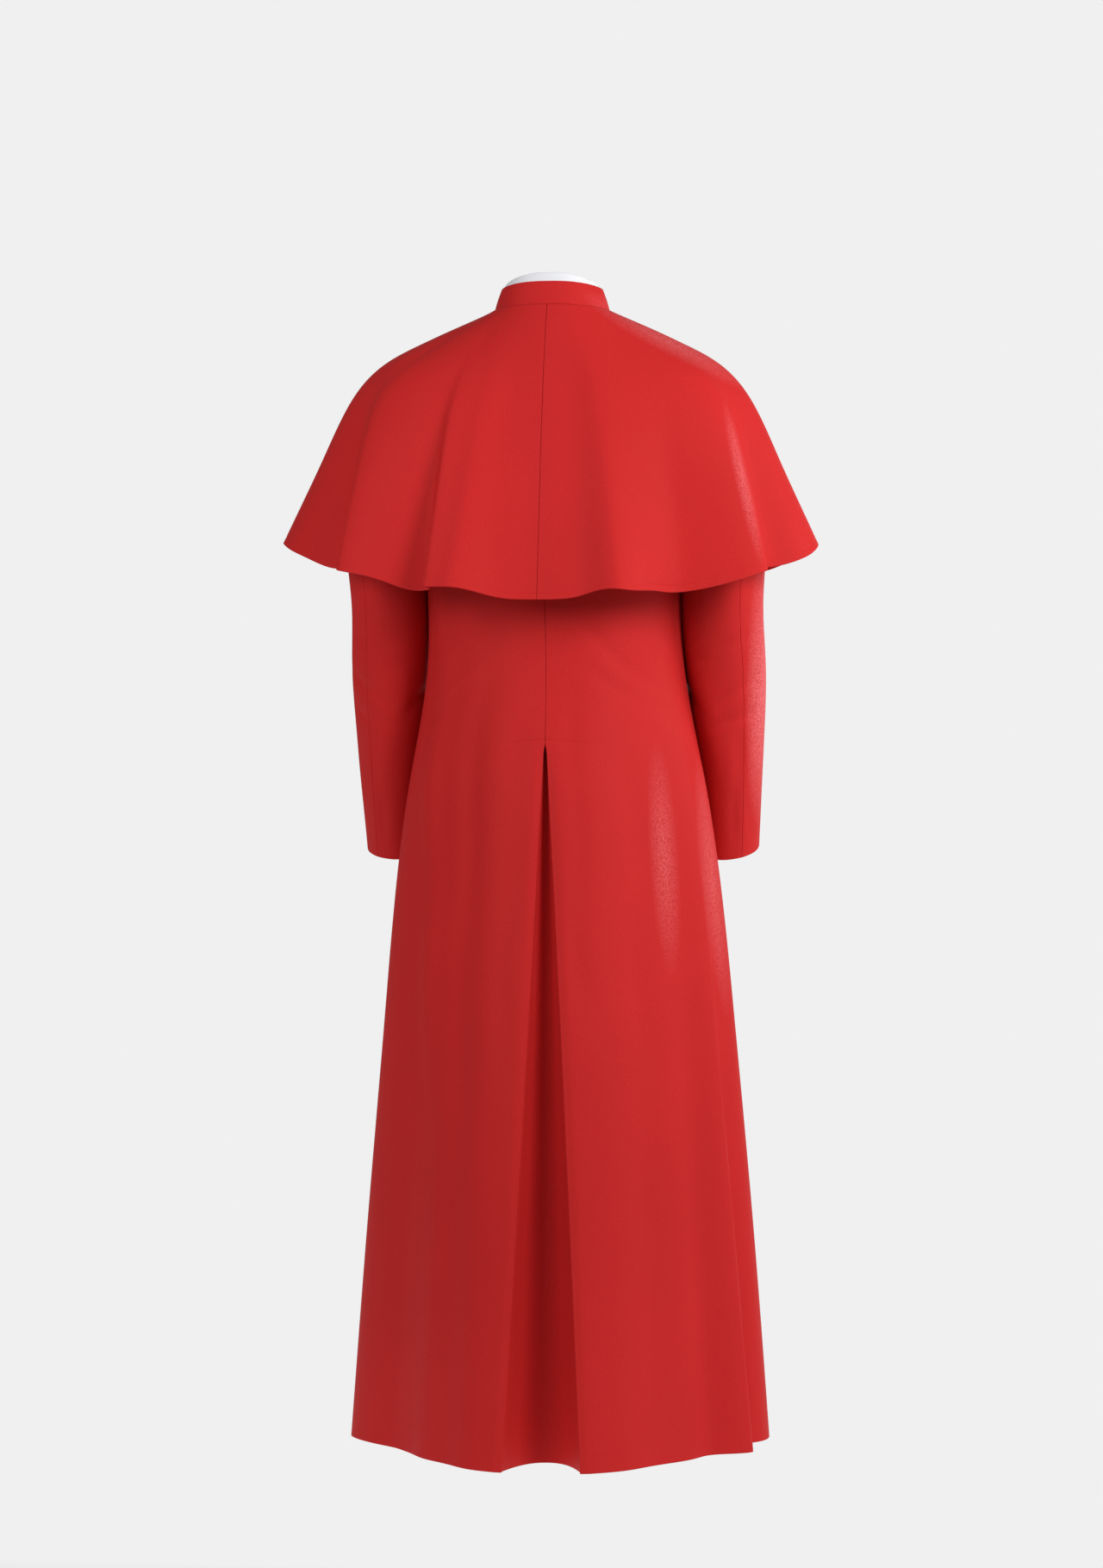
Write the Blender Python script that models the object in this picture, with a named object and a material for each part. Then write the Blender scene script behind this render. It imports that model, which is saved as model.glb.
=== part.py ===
"""A cassock with a shoulder cape, hollow and in its worn shape.

Metres, +Z up. The garment faces -Y, so the wearer's left is +X and the back is +Y.
The origin is the middle of the neck opening, level with the collar seam at the nape.
Each piece that a maker would cut is one closed wall of cloth. Its outer face comes from
a surface with two parameters: the angle round the body or the arm (0 is the centre back,
positive towards the wearer's left), and the distance down the cloth.
"""

import math

import bpy
import numpy as np

# Cloth and seams
CLOTH = 0.0020
SEAM_GAP = 0.0003
HALF_GAP = SEAM_GAP / 2
LINER = 0.0012
ANGLE_STEP = 0.05
LENGTH_STEP = 0.0002

# Heights on the body, as distances down the back from the nape
SHOULDER_TIP = 0.088
UNDERARM = 0.243
PLEAT_TOP = 0.549
HEM = 1.428

# The parts of the body above and below the waist seam: a word for the names, the first and
# the last row, and the gap at the top and at the bottom edge
BODY_PARTS = (
    ("", 0.0, PLEAT_TOP, 0.0, HALF_GAP),
    ("skirt_", PLEAT_TOP, HEM, HALF_GAP, 0.0),
)

# The centre back pleat, an inverted box pleat that opens towards the hem
PLEAT_HALF_OPENING = 0.049
PLEAT_HALF_TOP = 0.0012
PLEAT_DEPTH_TOP = 0.013
PLEAT_DEPTH_HEM = 0.078
PLEAT_ROUNDNESS = 2.3
PLEAT_UNDER = 0.0030
SKIRT_ROWS = (0.055, 0.120, 0.200, 0.310, 0.440, 0.600, 0.750, 0.879)

# How far the skirt stands towards the wearer's right
SWAY = 0.0145
SWAY_LENGTH = 0.550

# Seams and openings
SIDE_SEAM = 90.0
ARMHOLE_BACK_ANGLE = 21.0
ARMHOLE_FRONT_ANGLE = 20.0
ARMHOLE_STEPS = 9
FRONT_OVERLAP = 0.020
UNDERLAP_BLEND = 0.017
COLLAR_OPENING = 0.0025
CAPE_LENGTH = 0.417
CAPE_EDGE_AT_NECK = 0.010
CAPE_EDGE_AT_HEM = 0.050
SLEEVE_SEAM_BACK = 60.0
SLEEVE_SEAM_FRONT = -60.0

# Buttons
BUTTON_COUNT = 33
BUTTON_RADIUS = 0.0065
BUTTON_HEIGHT = 0.0048
BUTTON_GAP = 0.0006
FIRST_BUTTON = 0.020
LAST_BUTTON = 1.390
BUTTON_SIDES = 8

ANGLES = (0, 30, 60, 90, 120, 150, 180)

# Rings of the body: distance down the back, heights at the back, side and front, and the
# radius at each of ANGLES
BODY_COLUMNS = ("down", "z_back", "z_side", "z_front", *ANGLES)
BODY_RINGS = (
    (0.000, 0.000, -0.0070, -0.056, 0.0620, 0.0652, 0.0712, 0.0742, 0.0738, 0.0735, 0.0735),
    (0.044, -0.040, -0.0370, -0.094, 0.0800, 0.0870, 0.1080, 0.1330, 0.1080, 0.0900, 0.0860),
    (0.088, -0.086, -0.0735, -0.134, 0.1000, 0.1100, 0.1460, 0.2000, 0.1420, 0.1100, 0.1010),
    (0.165, -0.165, -0.1560, -0.186, 0.1210, 0.1310, 0.1570, 0.1860, 0.1520, 0.1250, 0.1170),
    (0.243, -0.243, -0.2430, -0.246, 0.1310, 0.1390, 0.1550, 0.1670, 0.1530, 0.1340, 0.1270),
    (0.330, -0.330, -0.3300, -0.330, 0.1270, 0.1350, 0.1510, 0.1600, 0.1490, 0.1310, 0.1250),
    (0.428, -0.428, -0.4280, -0.428, 0.1180, 0.1260, 0.1460, 0.1595, 0.1460, 0.1270, 0.1210),
    (0.504, -0.504, -0.5040, -0.504, 0.1320, 0.1380, 0.1550, 0.1700, 0.1520, 0.1300, 0.1230),
    (0.591, -0.591, -0.5910, -0.591, 0.1540, 0.1560, 0.1700, 0.1860, 0.1610, 0.1360, 0.1280),
    (0.700, -0.700, -0.7000, -0.700, 0.1700, 0.1700, 0.1820, 0.2020, 0.1730, 0.1440, 0.1350),
    (0.896, -0.896, -0.8960, -0.896, 0.1960, 0.1900, 0.1950, 0.2205, 0.1930, 0.1620, 0.1530),
    (1.160, -1.160, -1.1600, -1.160, 0.2310, 0.2140, 0.2110, 0.2420, 0.2190, 0.1870, 0.1780),
    (1.428, -1.428, -1.4245, -1.428, 0.2680, 0.2380, 0.2270, 0.2600, 0.2440, 0.2120, 0.2030),
)

# Rings of the shoulder cape
CAPE_COLUMNS = ("down", "z_back", "z_side", "z_front", *ANGLES)
CAPE_RINGS = (
    (0.000, -0.0005, -0.0040, -0.0540, 0.0655, 0.0688, 0.0748, 0.0778, 0.0777, 0.0774, 0.0774),
    (0.022, -0.0190, -0.0130, -0.0740, 0.0765, 0.0800, 0.0905, 0.0985, 0.0925, 0.0870, 0.0855),
    (0.060, -0.0520, -0.0285, -0.1060, 0.0920, 0.0985, 0.1175, 0.1330, 0.1175, 0.1015, 0.0980),
    (0.100, -0.0900, -0.0455, -0.1390, 0.1080, 0.1175, 0.1475, 0.1680, 0.1440, 0.1170, 0.1110),
    (0.145, -0.1330, -0.0680, -0.1760, 0.1230, 0.1350, 0.1800, 0.2080, 0.1740, 0.1340, 0.1230),
    (0.190, -0.1760, -0.0990, -0.2120, 0.1370, 0.1500, 0.2030, 0.2400, 0.1970, 0.1460, 0.1320),
    (0.240, -0.2230, -0.1420, -0.2540, 0.1500, 0.1640, 0.2190, 0.2650, 0.2150, 0.1560, 0.1400),
    (0.300, -0.2775, -0.1970, -0.3030, 0.1640, 0.1790, 0.2340, 0.2890, 0.2320, 0.1660, 0.1480),
    (0.360, -0.3290, -0.2510, -0.3510, 0.1770, 0.1930, 0.2480, 0.3130, 0.2480, 0.1750, 0.1560),
    (0.417, -0.3750, -0.3020, -0.3960, 0.1890, 0.2050, 0.2600, 0.3360, 0.2620, 0.1830, 0.1640),
)

# Folds: the angle of the ridge, how far it stands out at the hem (a valley is negative),
# its spread on the side nearer the centre back and on the far side, and where it starts
FOLD_COLUMNS = ("angle", "reach", "near", "far", "start")
SKIRT_FOLDS = (
    (-72.0, 0.026, 15.0, 4.5, 0.54),
    (-81.5, -0.012, 5.0, 8.0, 0.54),
    (-50.0, 0.006, 12.0, 12.0, 0.56),
    (42.0, 0.006, 9.0, 9.0, 0.56),
    (84.0, 0.012, 13.0, 5.0, 0.54),
    (95.0, -0.012, 5.0, 8.0, 0.54),
    (120.0, 0.012, 10.0, 9.0, 0.50),
    (141.0, -0.010, 9.0, 8.0, 0.52),
    (158.0, 0.010, 8.0, 8.0, 0.50),
    (-118.0, 0.013, 9.0, 10.0, 0.50),
    (-138.0, -0.009, 8.0, 9.0, 0.52),
    (-156.0, 0.011, 8.0, 9.0, 0.50),
)
CAPE_FOLDS = (
    (-28.0, 0.013, 9.0, 12.0, 0.05),
    (2.0, -0.004, 10.0, 10.0, 0.10),
    (35.0, 0.014, 10.0, 5.0, 0.07),
    (44.0, -0.005, 5.0, 6.0, 0.10),
    (60.5, 0.027, 9.0, 4.0, 0.11),
    (70.5, -0.018, 5.0, 6.0, 0.12),
    (-51.0, -0.004, 7.0, 5.0, 0.10),
    (-66.0, 0.019, 7.0, 4.0, 0.11),
    (-75.0, -0.014, 4.5, 6.0, 0.12),
    (88.0, 0.008, 13.0, 11.0, 0.00),
    (112.0, 0.018, 9.0, 8.0, 0.12),
    (134.0, -0.008, 7.0, 7.0, 0.12),
    (150.0, 0.012, 8.0, 7.0, 0.10),
    (-110.0, 0.016, 8.0, 9.0, 0.12),
    (-131.0, -0.009, 7.0, 7.0, 0.12),
    (-148.0, 0.013, 7.0, 8.0, 0.10),
)

# Where the columns of each half of the cape lie, in degrees from the centre back seam
CAPE_LEFT_COLUMNS = (
    0, 10, 20, 28, 35, 41, 48, 54.5, 60.5, 65, 70.5, 76, 83, 92, 102, 112, 122, 133, 142, 150, 159, 166,
)
CAPE_RIGHT_COLUMNS = (
    0, 9, 18, 27, 36, 45, 54, 61, 66, 70, 74.5, 79, 85, 92, 101, 110, 120, 131, 140, 149, 158, 166,
)

# Where the cape's hem dips (or rises, if negative): the angle, how far, and the spread
CAPE_DIPS = (
    (-87.0, -0.0045, 5.0),
    (-56.0, 0.0270, 15.0),
    (-24.0, -0.0065, 6.0),
    (26.0, -0.0085, 9.0),
    (46.5, 0.0105, 6.0),
    (66.0, 0.0090, 19.0),
    (73.0, 0.0050, 4.0),
    (86.0, -0.0060, 8.0),
    (93.0, -0.0060, 9.0),
)

# Rings of a sleeve below the armhole: the inner and outer points, the middle's depth,
# half the ring's depth, and how far its back edge hangs below its middle
SLEEVE_COLUMNS = ("down", "inner_x", "inner_z", "outer_x", "outer_z", "mid_y", "half_depth", "drop")
SLEEVE_RINGS = (
    (0.022, 0.1700, -0.2475, 0.2180, -0.0900, 0.0020, 0.0650, 0.000),
    (0.050, 0.1705, -0.2500, 0.2380, -0.1140, 0.0000, 0.0690, 0.000),
    (0.088, 0.1703, -0.2530, 0.2510, -0.1470, -0.0020, 0.0715, 0.000),
    (0.132, 0.1705, -0.2580, 0.2600, -0.1940, -0.0040, 0.0730, 0.000),
    (0.182, 0.1702, -0.2680, 0.2650, -0.2450, -0.0060, 0.0725, 0.000),
    (0.235, 0.1690, -0.3030, 0.2665, -0.3000, -0.0090, 0.0710, 0.000),
    (0.305, 0.1655, -0.3700, 0.2620, -0.3700, -0.0180, 0.0680, 0.002),
    (0.385, 0.1670, -0.4500, 0.2640, -0.4500, -0.0340, 0.0650, 0.006),
    (0.455, 0.1700, -0.5200, 0.2620, -0.5200, -0.0520, 0.0620, 0.010),
    (0.535, 0.1735, -0.6000, 0.2575, -0.6000, -0.0740, 0.0580, 0.014),
    (0.620, 0.1745, -0.6830, 0.2535, -0.6790, -0.0990, 0.0530, 0.016),
)
CUFF = 0.620
SLEEVE_SWAY = 0.0045

# Rings of the stand collar, as distances down from its top edge, and the liner inside it
COLLAR_COLUMNS = ("down", "z_back", "z_side", "z_front", *ANGLES)
COLLAR_RINGS = (
    (0.000, 0.0305, 0.0255, -0.0250, 0.0535, 0.0568, 0.0618, 0.0641, 0.0640, 0.0628, 0.0620),
    (0.015, 0.0155, 0.0095, -0.0400, 0.0576, 0.0611, 0.0670, 0.0698, 0.0692, 0.0681, 0.0676),
    (0.030, 0.0008, -0.0062, -0.0548, 0.0618, 0.0650, 0.0710, 0.0740, 0.0736, 0.0733, 0.0733),
)
COLLAR_HEIGHT = 0.030
LINER_RISE = 0.0115
LINER_RISE_SIDE = 0.12
LINER_RISE_FRONT = 0.35
LINER_FLATNESS = 0.9
LINER_BOTTOM = 0.018

# The four edges of a grid of points, each with the line of points beside it
EDGES = (
    (np.s_[:, 0], np.s_[:, 1]),
    (np.s_[:, -1], np.s_[:, -2]),
    (np.s_[0], np.s_[1]),
    (np.s_[-1], np.s_[-2]),
)

RED_CLOTH = (0.56, 0.020, 0.022, 1.0)
WHITE_LINER = (0.86, 0.86, 0.88, 1.0)


def spline(xs, ys, x):
    """A natural cubic spline through the points xs, ys, read at x."""
    count = len(xs)
    gaps = np.diff(xs)
    slopes = np.diff(ys) / gaps
    system = np.eye(count)
    right = np.zeros(count)
    for i in range(1, count - 1):
        system[i, i - 1 : i + 2] = gaps[i - 1], 2 * (gaps[i - 1] + gaps[i]), gaps[i]
        right[i] = 6 * (slopes[i] - slopes[i - 1])
    bend = np.linalg.solve(system, right)
    i = np.clip(np.searchsorted(xs, x) - 1, 0, count - 2)
    h = gaps[i]
    a = xs[i + 1] - x
    b = x - xs[i]
    return (
        (bend[i] * a**3 + bend[i + 1] * b**3) / (6 * h)
        + (ys[i] / h - bend[i] * h / 6) * a
        + (ys[i + 1] / h - bend[i + 1] * h / 6) * b
    )


class Table:
    """Rows of numbers under named columns, read smoothly between the rows."""

    def __init__(self, columns, rows):
        self.values = dict(zip(columns, np.array(rows, float).T))

    def at(self, column, down):
        return spline(self.values["down"], self.values[column], down)


BODY = Table(BODY_COLUMNS, BODY_RINGS)
CAPE = Table(CAPE_COLUMNS, CAPE_RINGS)
SLEEVE = Table(SLEEVE_COLUMNS, SLEEVE_RINGS)
COLLAR = Table(COLLAR_COLUMNS, COLLAR_RINGS)


def smooth(x):
    """0 below 0, 1 above 1, and a soft step between."""
    x = np.clip(x, 0, 1)
    return x * x * (3 - 2 * x)


def folds_out(rows, angle, down, hem):
    """How far the folds push the cloth out at this angle and distance down."""
    out = np.zeros(np.broadcast(angle, down).shape)
    for row in rows:
        fold = dict(zip(FOLD_COLUMNS, row))
        away = (angle - fold["angle"] + 180) % 360 - 180
        past = away * (1 if fold["angle"] >= 0 else -1)
        spread = np.where(past < 0, fold["near"], fold["far"])
        grown = np.clip((down - fold["start"]) / (hem - fold["start"]), 0, 1.2)
        out += fold["reach"] * grown**1.25 * np.exp(-((past / spread) ** 2))
    return out


def ring_radius(table, angle, down):
    """The radius at any angle: the cosine series through the table's seven radii."""
    order = np.arange(len(ANGLES))
    weights = np.linalg.inv(np.cos(np.radians(np.outer(ANGLES, order))))
    radii = np.array([table.at(a, down) for a in ANGLES])
    terms = np.cos(np.radians(angle)[None, ...] * order.reshape((-1,) + (1,) * np.ndim(angle)))
    return np.einsum("kj,j...,k...->...", weights, radii, terms)


def ring_height(table, angle, down):
    """The height at any angle, between those at the back, the side and the front."""
    across = np.abs(np.sin(np.radians(angle))) ** 3
    behind = np.cos(np.radians(angle)) > 0
    end = np.where(behind, table.at("z_back", down), table.at("z_front", down))
    return end + (table.at("z_side", down) - end) * across


def polar(angle, radius, height, shift=0.0):
    turn = np.radians(angle)
    return np.stack([radius * np.sin(turn) + shift, radius * np.cos(turn), height], -1)


def sway(down):
    return SWAY * (1 - np.exp(-np.clip(down - UNDERARM, 0, None) / SWAY_LENGTH))


def paired(angle, down):
    """The two parameters as arrays of one shape."""
    return np.broadcast_arrays(np.asarray(angle, float), np.asarray(down, float))


def body_point(angle, down, inset=0.0):
    angle, down = paired(angle, down)
    radius = ring_radius(BODY, angle, down) + folds_out(SKIRT_FOLDS, angle, down, HEM) - inset
    return polar(angle, radius, ring_height(BODY, angle, down), -sway(down))


def underlap_point(angle, down):
    """The right front: it drops behind the left front where they overlap."""
    angle, down = paired(angle, down)
    from_centre = BODY.at(180, down) * np.radians(180 + angle)
    under = smooth(1 - (from_centre - FRONT_OVERLAP - SEAM_GAP) / UNDERLAP_BLEND)
    return body_point(angle, down, (CLOTH + 3 * SEAM_GAP) * under)


def cape_point(angle, down):
    angle, down = paired(angle, down)
    radius = ring_radius(CAPE, angle, down) + folds_out(CAPE_FOLDS, angle, down, CAPE_LENGTH)
    dip = sum(low * np.exp(-(((angle - at) / spread) ** 2)) for at, low, spread in CAPE_DIPS)
    return polar(angle, radius, ring_height(CAPE, angle, down) - dip * down / CAPE_LENGTH)


def collar_point(angle, down, inset=0.0):
    angle, down = paired(angle, down)
    return polar(angle, ring_radius(COLLAR, angle, down) - inset, ring_height(COLLAR, angle, down))


def pleat_opening(down):
    """Half the width of the pleat's opening."""
    share = np.clip((down - PLEAT_TOP) / (HEM - PLEAT_TOP), 0, None)
    return PLEAT_HALF_TOP + (PLEAT_HALF_OPENING - PLEAT_HALF_TOP) * share


def back_edge_angle(down):
    """The angle at which a back panel ends: the centre seam, then the pleat's fold."""
    edge = np.where(down > PLEAT_TOP, pleat_opening(down), 0.0)
    return np.degrees(np.arcsin(edge / BODY.at(0, down)))


def pleat_point(across, down):
    """The pleat's channel: across runs from -1 at one fold to 1 at the other."""
    across, down = paired(across, down)
    half = pleat_opening(down)
    share = np.clip((down - PLEAT_TOP) / (HEM - PLEAT_TOP), 0, None)
    depth = PLEAT_DEPTH_TOP + (PLEAT_DEPTH_HEM - PLEAT_DEPTH_TOP) * share
    side = np.sign(across) * np.degrees(np.arcsin(half / BODY.at(0, down)))
    fold = body_point(side, down)[..., 1]
    y = fold - PLEAT_UNDER - (depth - PLEAT_UNDER) * (1 - np.abs(across) ** PLEAT_ROUNDNESS)
    return np.stack([half * across - sway(down), y, BODY.at("z_back", down)], -1)


def armhole_angles(down):
    """Where the back and front panels end at the armhole, or at the side seam."""
    middle, half = (SHOULDER_TIP + UNDERARM) / 2, (UNDERARM - SHOULDER_TIP) / 2
    bow = np.sqrt(np.clip(1 - ((down - middle) / half) ** 2, 0, None))
    return SIDE_SEAM - ARMHOLE_BACK_ANGLE * bow, SIDE_SEAM + ARMHOLE_FRONT_ANGLE * bow


def armhole_point(turn):
    """The armhole's edge: turn 0 is the shoulder tip, 90 the back and 180 the underarm."""
    turn = np.radians(turn)
    wide = np.where(np.sin(turn) > 0, ARMHOLE_BACK_ANGLE, ARMHOLE_FRONT_ANGLE)
    middle, half = (SHOULDER_TIP + UNDERARM) / 2, (UNDERARM - SHOULDER_TIP) / 2
    return body_point(SIDE_SEAM - wide * np.sin(turn), middle - half * np.cos(turn))


def sleeve_ring_point(turn, down):
    turn = np.radians(turn)
    inner = np.stack([SLEEVE.at("inner_x", down), SLEEVE.at("inner_z", down)])
    outer = np.stack([SLEEVE.at("outer_x", down), SLEEVE.at("outer_z", down)])
    middle, reach = (inner + outer) / 2, (outer - inner) / 2
    x = middle[0] + reach[0] * np.cos(turn)
    y = SLEEVE.at("mid_y", down) + SLEEVE.at("half_depth", down) * np.sin(turn)
    z = middle[1] + reach[1] * np.cos(turn) - SLEEVE.at("drop", down) * np.sin(turn)
    return np.stack([x, y, z], -1)


def sleeve_point(turn, down, side):
    """A sleeve: side is 1 for the wearer's left, and -1 for the mirrored right one."""
    turn, down = paired(turn, down)
    first = SLEEVE_RINGS[0][0]
    ring = sleeve_ring_point(turn, np.maximum(down, first))
    head = armhole_point(turn)
    share = smooth(down / first)[..., None] * 0.6 + np.clip(down / first, 0, 1)[..., None] * 0.4
    point = head + (ring - head) * share
    point[..., 0] = point[..., 0] * side - SLEEVE_SWAY * np.sin(0.75 * np.pi * down / CUFF)
    return point


def unit(v):
    return v / np.maximum(np.linalg.norm(v, axis=-1, keepdims=True), 1e-12)


def surface_normals(surface, first, second, first_step, second_step):
    """Unit normals of a surface, from a small step each way along both parameters."""
    along = surface(first + first_step, second) - surface(first - first_step, second)
    down = surface(first, second + second_step) - surface(first, second - second_step)
    return unit(np.cross(along, down))


def pull_in(points, gaps):
    """Moves each edge of the grid in by its gap: the first and last columns and rows."""
    moved = points.copy()
    for gap, (edge, beside) in zip(gaps, EDGES):
        moved[edge] += gap * unit(points[beside] - points[edge])
    return moved


def split_quads(quads, points):
    """Two triangles for each quad, cut across its shorter diagonal."""
    spans = np.linalg.norm(points[quads[:, :2]] - points[quads[:, 2:]], axis=-1)
    turned = np.where(spans[:, :1] <= spans[:, 1:], quads, np.roll(quads, -1, axis=1))
    return np.concatenate([turned[:, [0, 1, 2]], turned[:, [0, 2, 3]]])


def wall(name, surface, first, second, material, gaps=(0, 0, 0, 0), outward=1, thick=CLOTH,
         first_step=ANGLE_STEP, second_step=LENGTH_STEP):
    """One piece of cloth: the surface at a grid of parameters, and a face behind it."""
    normals = surface_normals(surface, first, second, first_step, second_step) * outward
    outer = pull_in(surface(first, second), gaps)
    inner = outer - normals * thick
    rows, columns = first.shape
    count = rows * columns
    points = np.concatenate([outer.reshape(-1, 3), inner.reshape(-1, 3)])
    index = np.arange(count).reshape(rows, columns)
    corners = np.stack([index[:-1, :-1], index[:-1, 1:], index[1:, 1:], index[1:, :-1]], -1).reshape(-1, 4)
    front = split_quads(corners, points)
    back = front[:, ::-1] + count
    border = np.concatenate([index[0, :-1], index[:-1, -1], index[-1, :0:-1], index[:0:-1, 0]])
    beyond = np.roll(border, -1)
    rim = split_quads(np.stack([beyond, border, border + count, beyond + count], -1), points)
    faces = np.concatenate([front, back, rim])
    if outward < 0:
        faces = faces[:, ::-1]
    mesh = bpy.data.meshes.new(name)
    mesh.from_pydata(points.tolist(), [], faces.tolist())
    mesh.validate()
    return add_object(name, mesh, material)


def add_object(name, mesh, material):
    if not mesh.materials:
        mesh.materials.append(material)
    mesh.shade_smooth()
    mesh.set_sharp_from_angle(angle=math.radians(40))
    made = bpy.data.objects.new(name, mesh)
    bpy.context.scene.collection.objects.link(made)
    return made


def make_material(name, color, roughness, sheen=0.0):
    material = bpy.data.materials.new(name)
    material.use_nodes = True
    shader = material.node_tree.nodes["Principled BSDF"]
    shader.inputs["Base Color"].default_value = color
    shader.inputs["Roughness"].default_value = roughness
    shader.inputs["Metallic"].default_value = 0.0
    shader.inputs["Sheen Weight"].default_value = sheen
    return material


def clear_scene():
    for obj in list(bpy.data.objects):
        bpy.data.objects.remove(obj)


def body_rows(first, last):
    """Distances down the body for the rows of a panel, closer where it bends more."""
    middle, half = (SHOULDER_TIP + UNDERARM) / 2, (UNDERARM - SHOULDER_TIP) / 2
    yoke = np.linspace(0, SHOULDER_TIP, 4)[:-1]
    armhole = middle - half * np.cos(np.linspace(0, np.pi, ARMHOLE_STEPS + 1))
    waist = np.linspace(UNDERARM, PLEAT_TOP, 6)[1:]
    skirt = PLEAT_TOP + np.array(SKIRT_ROWS)
    rows = np.concatenate([yoke, armhole, waist, skirt])
    return rows[(rows >= first) & (rows <= last)]


def spread_columns(start, end, shares):
    """Angles from start to end for each row, at these shares of the way across."""
    return start[:, None] + (end - start)[:, None] * np.asarray(shares)[None, :]


def make_backs(cloth):
    shares = (0, 0.05, 0.12, 0.20, 0.29, 0.38, 0.47, 0.56, 0.64, 0.71, 0.77, 0.82, 0.87, 0.92, 0.96, 1)
    mirrored = [1 - s for s in reversed(shares)]
    for word, first, last, above, below in BODY_PARTS:
        down = body_rows(first, last)
        edge = back_edge_angle(down)
        side = armhole_angles(down)[0]
        gaps = (HALF_GAP, HALF_GAP, above, below)
        rows = np.repeat(down[:, None], len(shares), 1)
        wall(f"{word}back_left", body_point, spread_columns(edge, side, shares), rows, cloth, gaps)
        wall(f"{word}back_right", body_point, spread_columns(-side, -edge, mirrored), rows, cloth, gaps)


def make_centre_pleat(cloth):
    down = body_rows(PLEAT_TOP, HEM)
    across = np.array([-1, -0.86, -0.68, -0.46, -0.2, 0.2, 0.46, 0.68, 0.86, 1])
    first, second = np.broadcast_arrays(across[None, :], down[:, None])
    wall("centre_pleat", pleat_point, first, second, cloth, first_step=0.002)


def front_columns(side, down, near_centre):
    """Angles from the side seam to the centre front, the last ones at set distances past it."""
    near = 180 + np.degrees(np.array(near_centre)[None, :] / BODY.at(180, down)[:, None])
    shares = (0, 0.10, 0.22, 0.34, 0.47, 0.60, 0.73, 0.87)
    return np.concatenate([spread_columns(side, near[:, 0], shares), near], 1)


def make_fronts(cloth):
    lap = FRONT_OVERLAP + SEAM_GAP
    for word, first, last, above, below in BODY_PARTS:
        down = body_rows(first, last)
        side = armhole_angles(down)[1]
        over = front_columns(side, down, (-lap - UNDERLAP_BLEND, -FRONT_OVERLAP, 0, FRONT_OVERLAP))
        under = front_columns(side, down, (-lap - UNDERLAP_BLEND, -lap, 0, FRONT_OVERLAP))
        rows = np.repeat(down[:, None], over.shape[1], 1)
        wall(f"{word}front_left", body_point, over, rows, cloth, (HALF_GAP, 0, above, below))
        wall(f"{word}front_right", underlap_point, -under[:, ::-1], rows, cloth, (0, HALF_GAP, above, below))


def make_sleeves(cloth):
    down = np.concatenate([[0, 0.010], [row[0] for row in SLEEVE_RINGS], [0.270, 0.345, 0.420, 0.580]])
    down = np.sort(down)
    step = 180 / ARMHOLE_STEPS
    pieces = (
        ("upper", np.arange(SLEEVE_SEAM_FRONT, SLEEVE_SEAM_BACK + 1, step)),
        ("under", np.arange(SLEEVE_SEAM_BACK, SLEEVE_SEAM_FRONT + 361, step)),
    )
    for word, side in (("left", 1), ("right", -1)):
        for piece, turns in pieces:
            first, second = np.broadcast_arrays(turns[None, :], down[:, None])
            wall(
                f"sleeve_{word}_{piece}",
                lambda turn, down, side=side: sleeve_point(turn, down, side),
                first,
                second,
                cloth,
                (HALF_GAP, HALF_GAP, SEAM_GAP, 0),
                outward=-side,
            )


def make_collar(cloth, white):
    end = 180 - math.degrees(math.asin(COLLAR_OPENING / 0.07))
    turns = np.linspace(-end, end, 29)
    first, second = np.broadcast_arrays(turns[None, :], np.linspace(0, COLLAR_HEIGHT, 4)[:, None])
    wall("collar", collar_point, first, second, cloth)
    facing = np.sign(90 - np.abs(turns)) * np.abs(np.cos(np.radians(turns))) ** LINER_FLATNESS
    share = LINER_RISE_SIDE + np.where(facing > 0, 1, LINER_RISE_SIDE - LINER_RISE_FRONT) * facing
    liner = np.array([-LINER_RISE, 0.0, LINER_BOTTOM / 2, LINER_BOTTOM])
    second = np.where(liner[:, None] < 0, liner[:, None] * share[None, :], liner[:, None])
    first = np.repeat(turns[None, :], len(liner), 0)
    wall(
        "collar_liner",
        lambda angle, down: collar_point(angle, down, CLOTH + 2 * SEAM_GAP),
        first,
        second,
        white,
        thick=LINER,
    )


def cape_front_angle(down):
    edge = CAPE_EDGE_AT_NECK + (CAPE_EDGE_AT_HEM - CAPE_EDGE_AT_NECK) * (down / CAPE_LENGTH) ** 1.3
    return 180 - np.degrees(np.arcsin(edge / CAPE.at(180, down)))


def make_capes(cloth):
    down = np.array([0, 0.022, 0.060, 0.100, 0.145, 0.190, 0.240, 0.300, 0.360, CAPE_LENGTH])
    edge = cape_front_angle(down)
    left = np.array(CAPE_LEFT_COLUMNS) / CAPE_LEFT_COLUMNS[-1]
    right = 1 - np.array(CAPE_RIGHT_COLUMNS[::-1]) / CAPE_RIGHT_COLUMNS[-1]
    rows = np.repeat(down[:, None], len(left), 1)
    centre = np.zeros(len(down))
    wall("cape_left", cape_point, spread_columns(centre, edge, left), rows, cloth, (HALF_GAP, 0, 0, 0))
    wall("cape_right", cape_point, spread_columns(-edge, centre, right), rows, cloth, (0, HALF_GAP, 0, 0))


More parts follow.
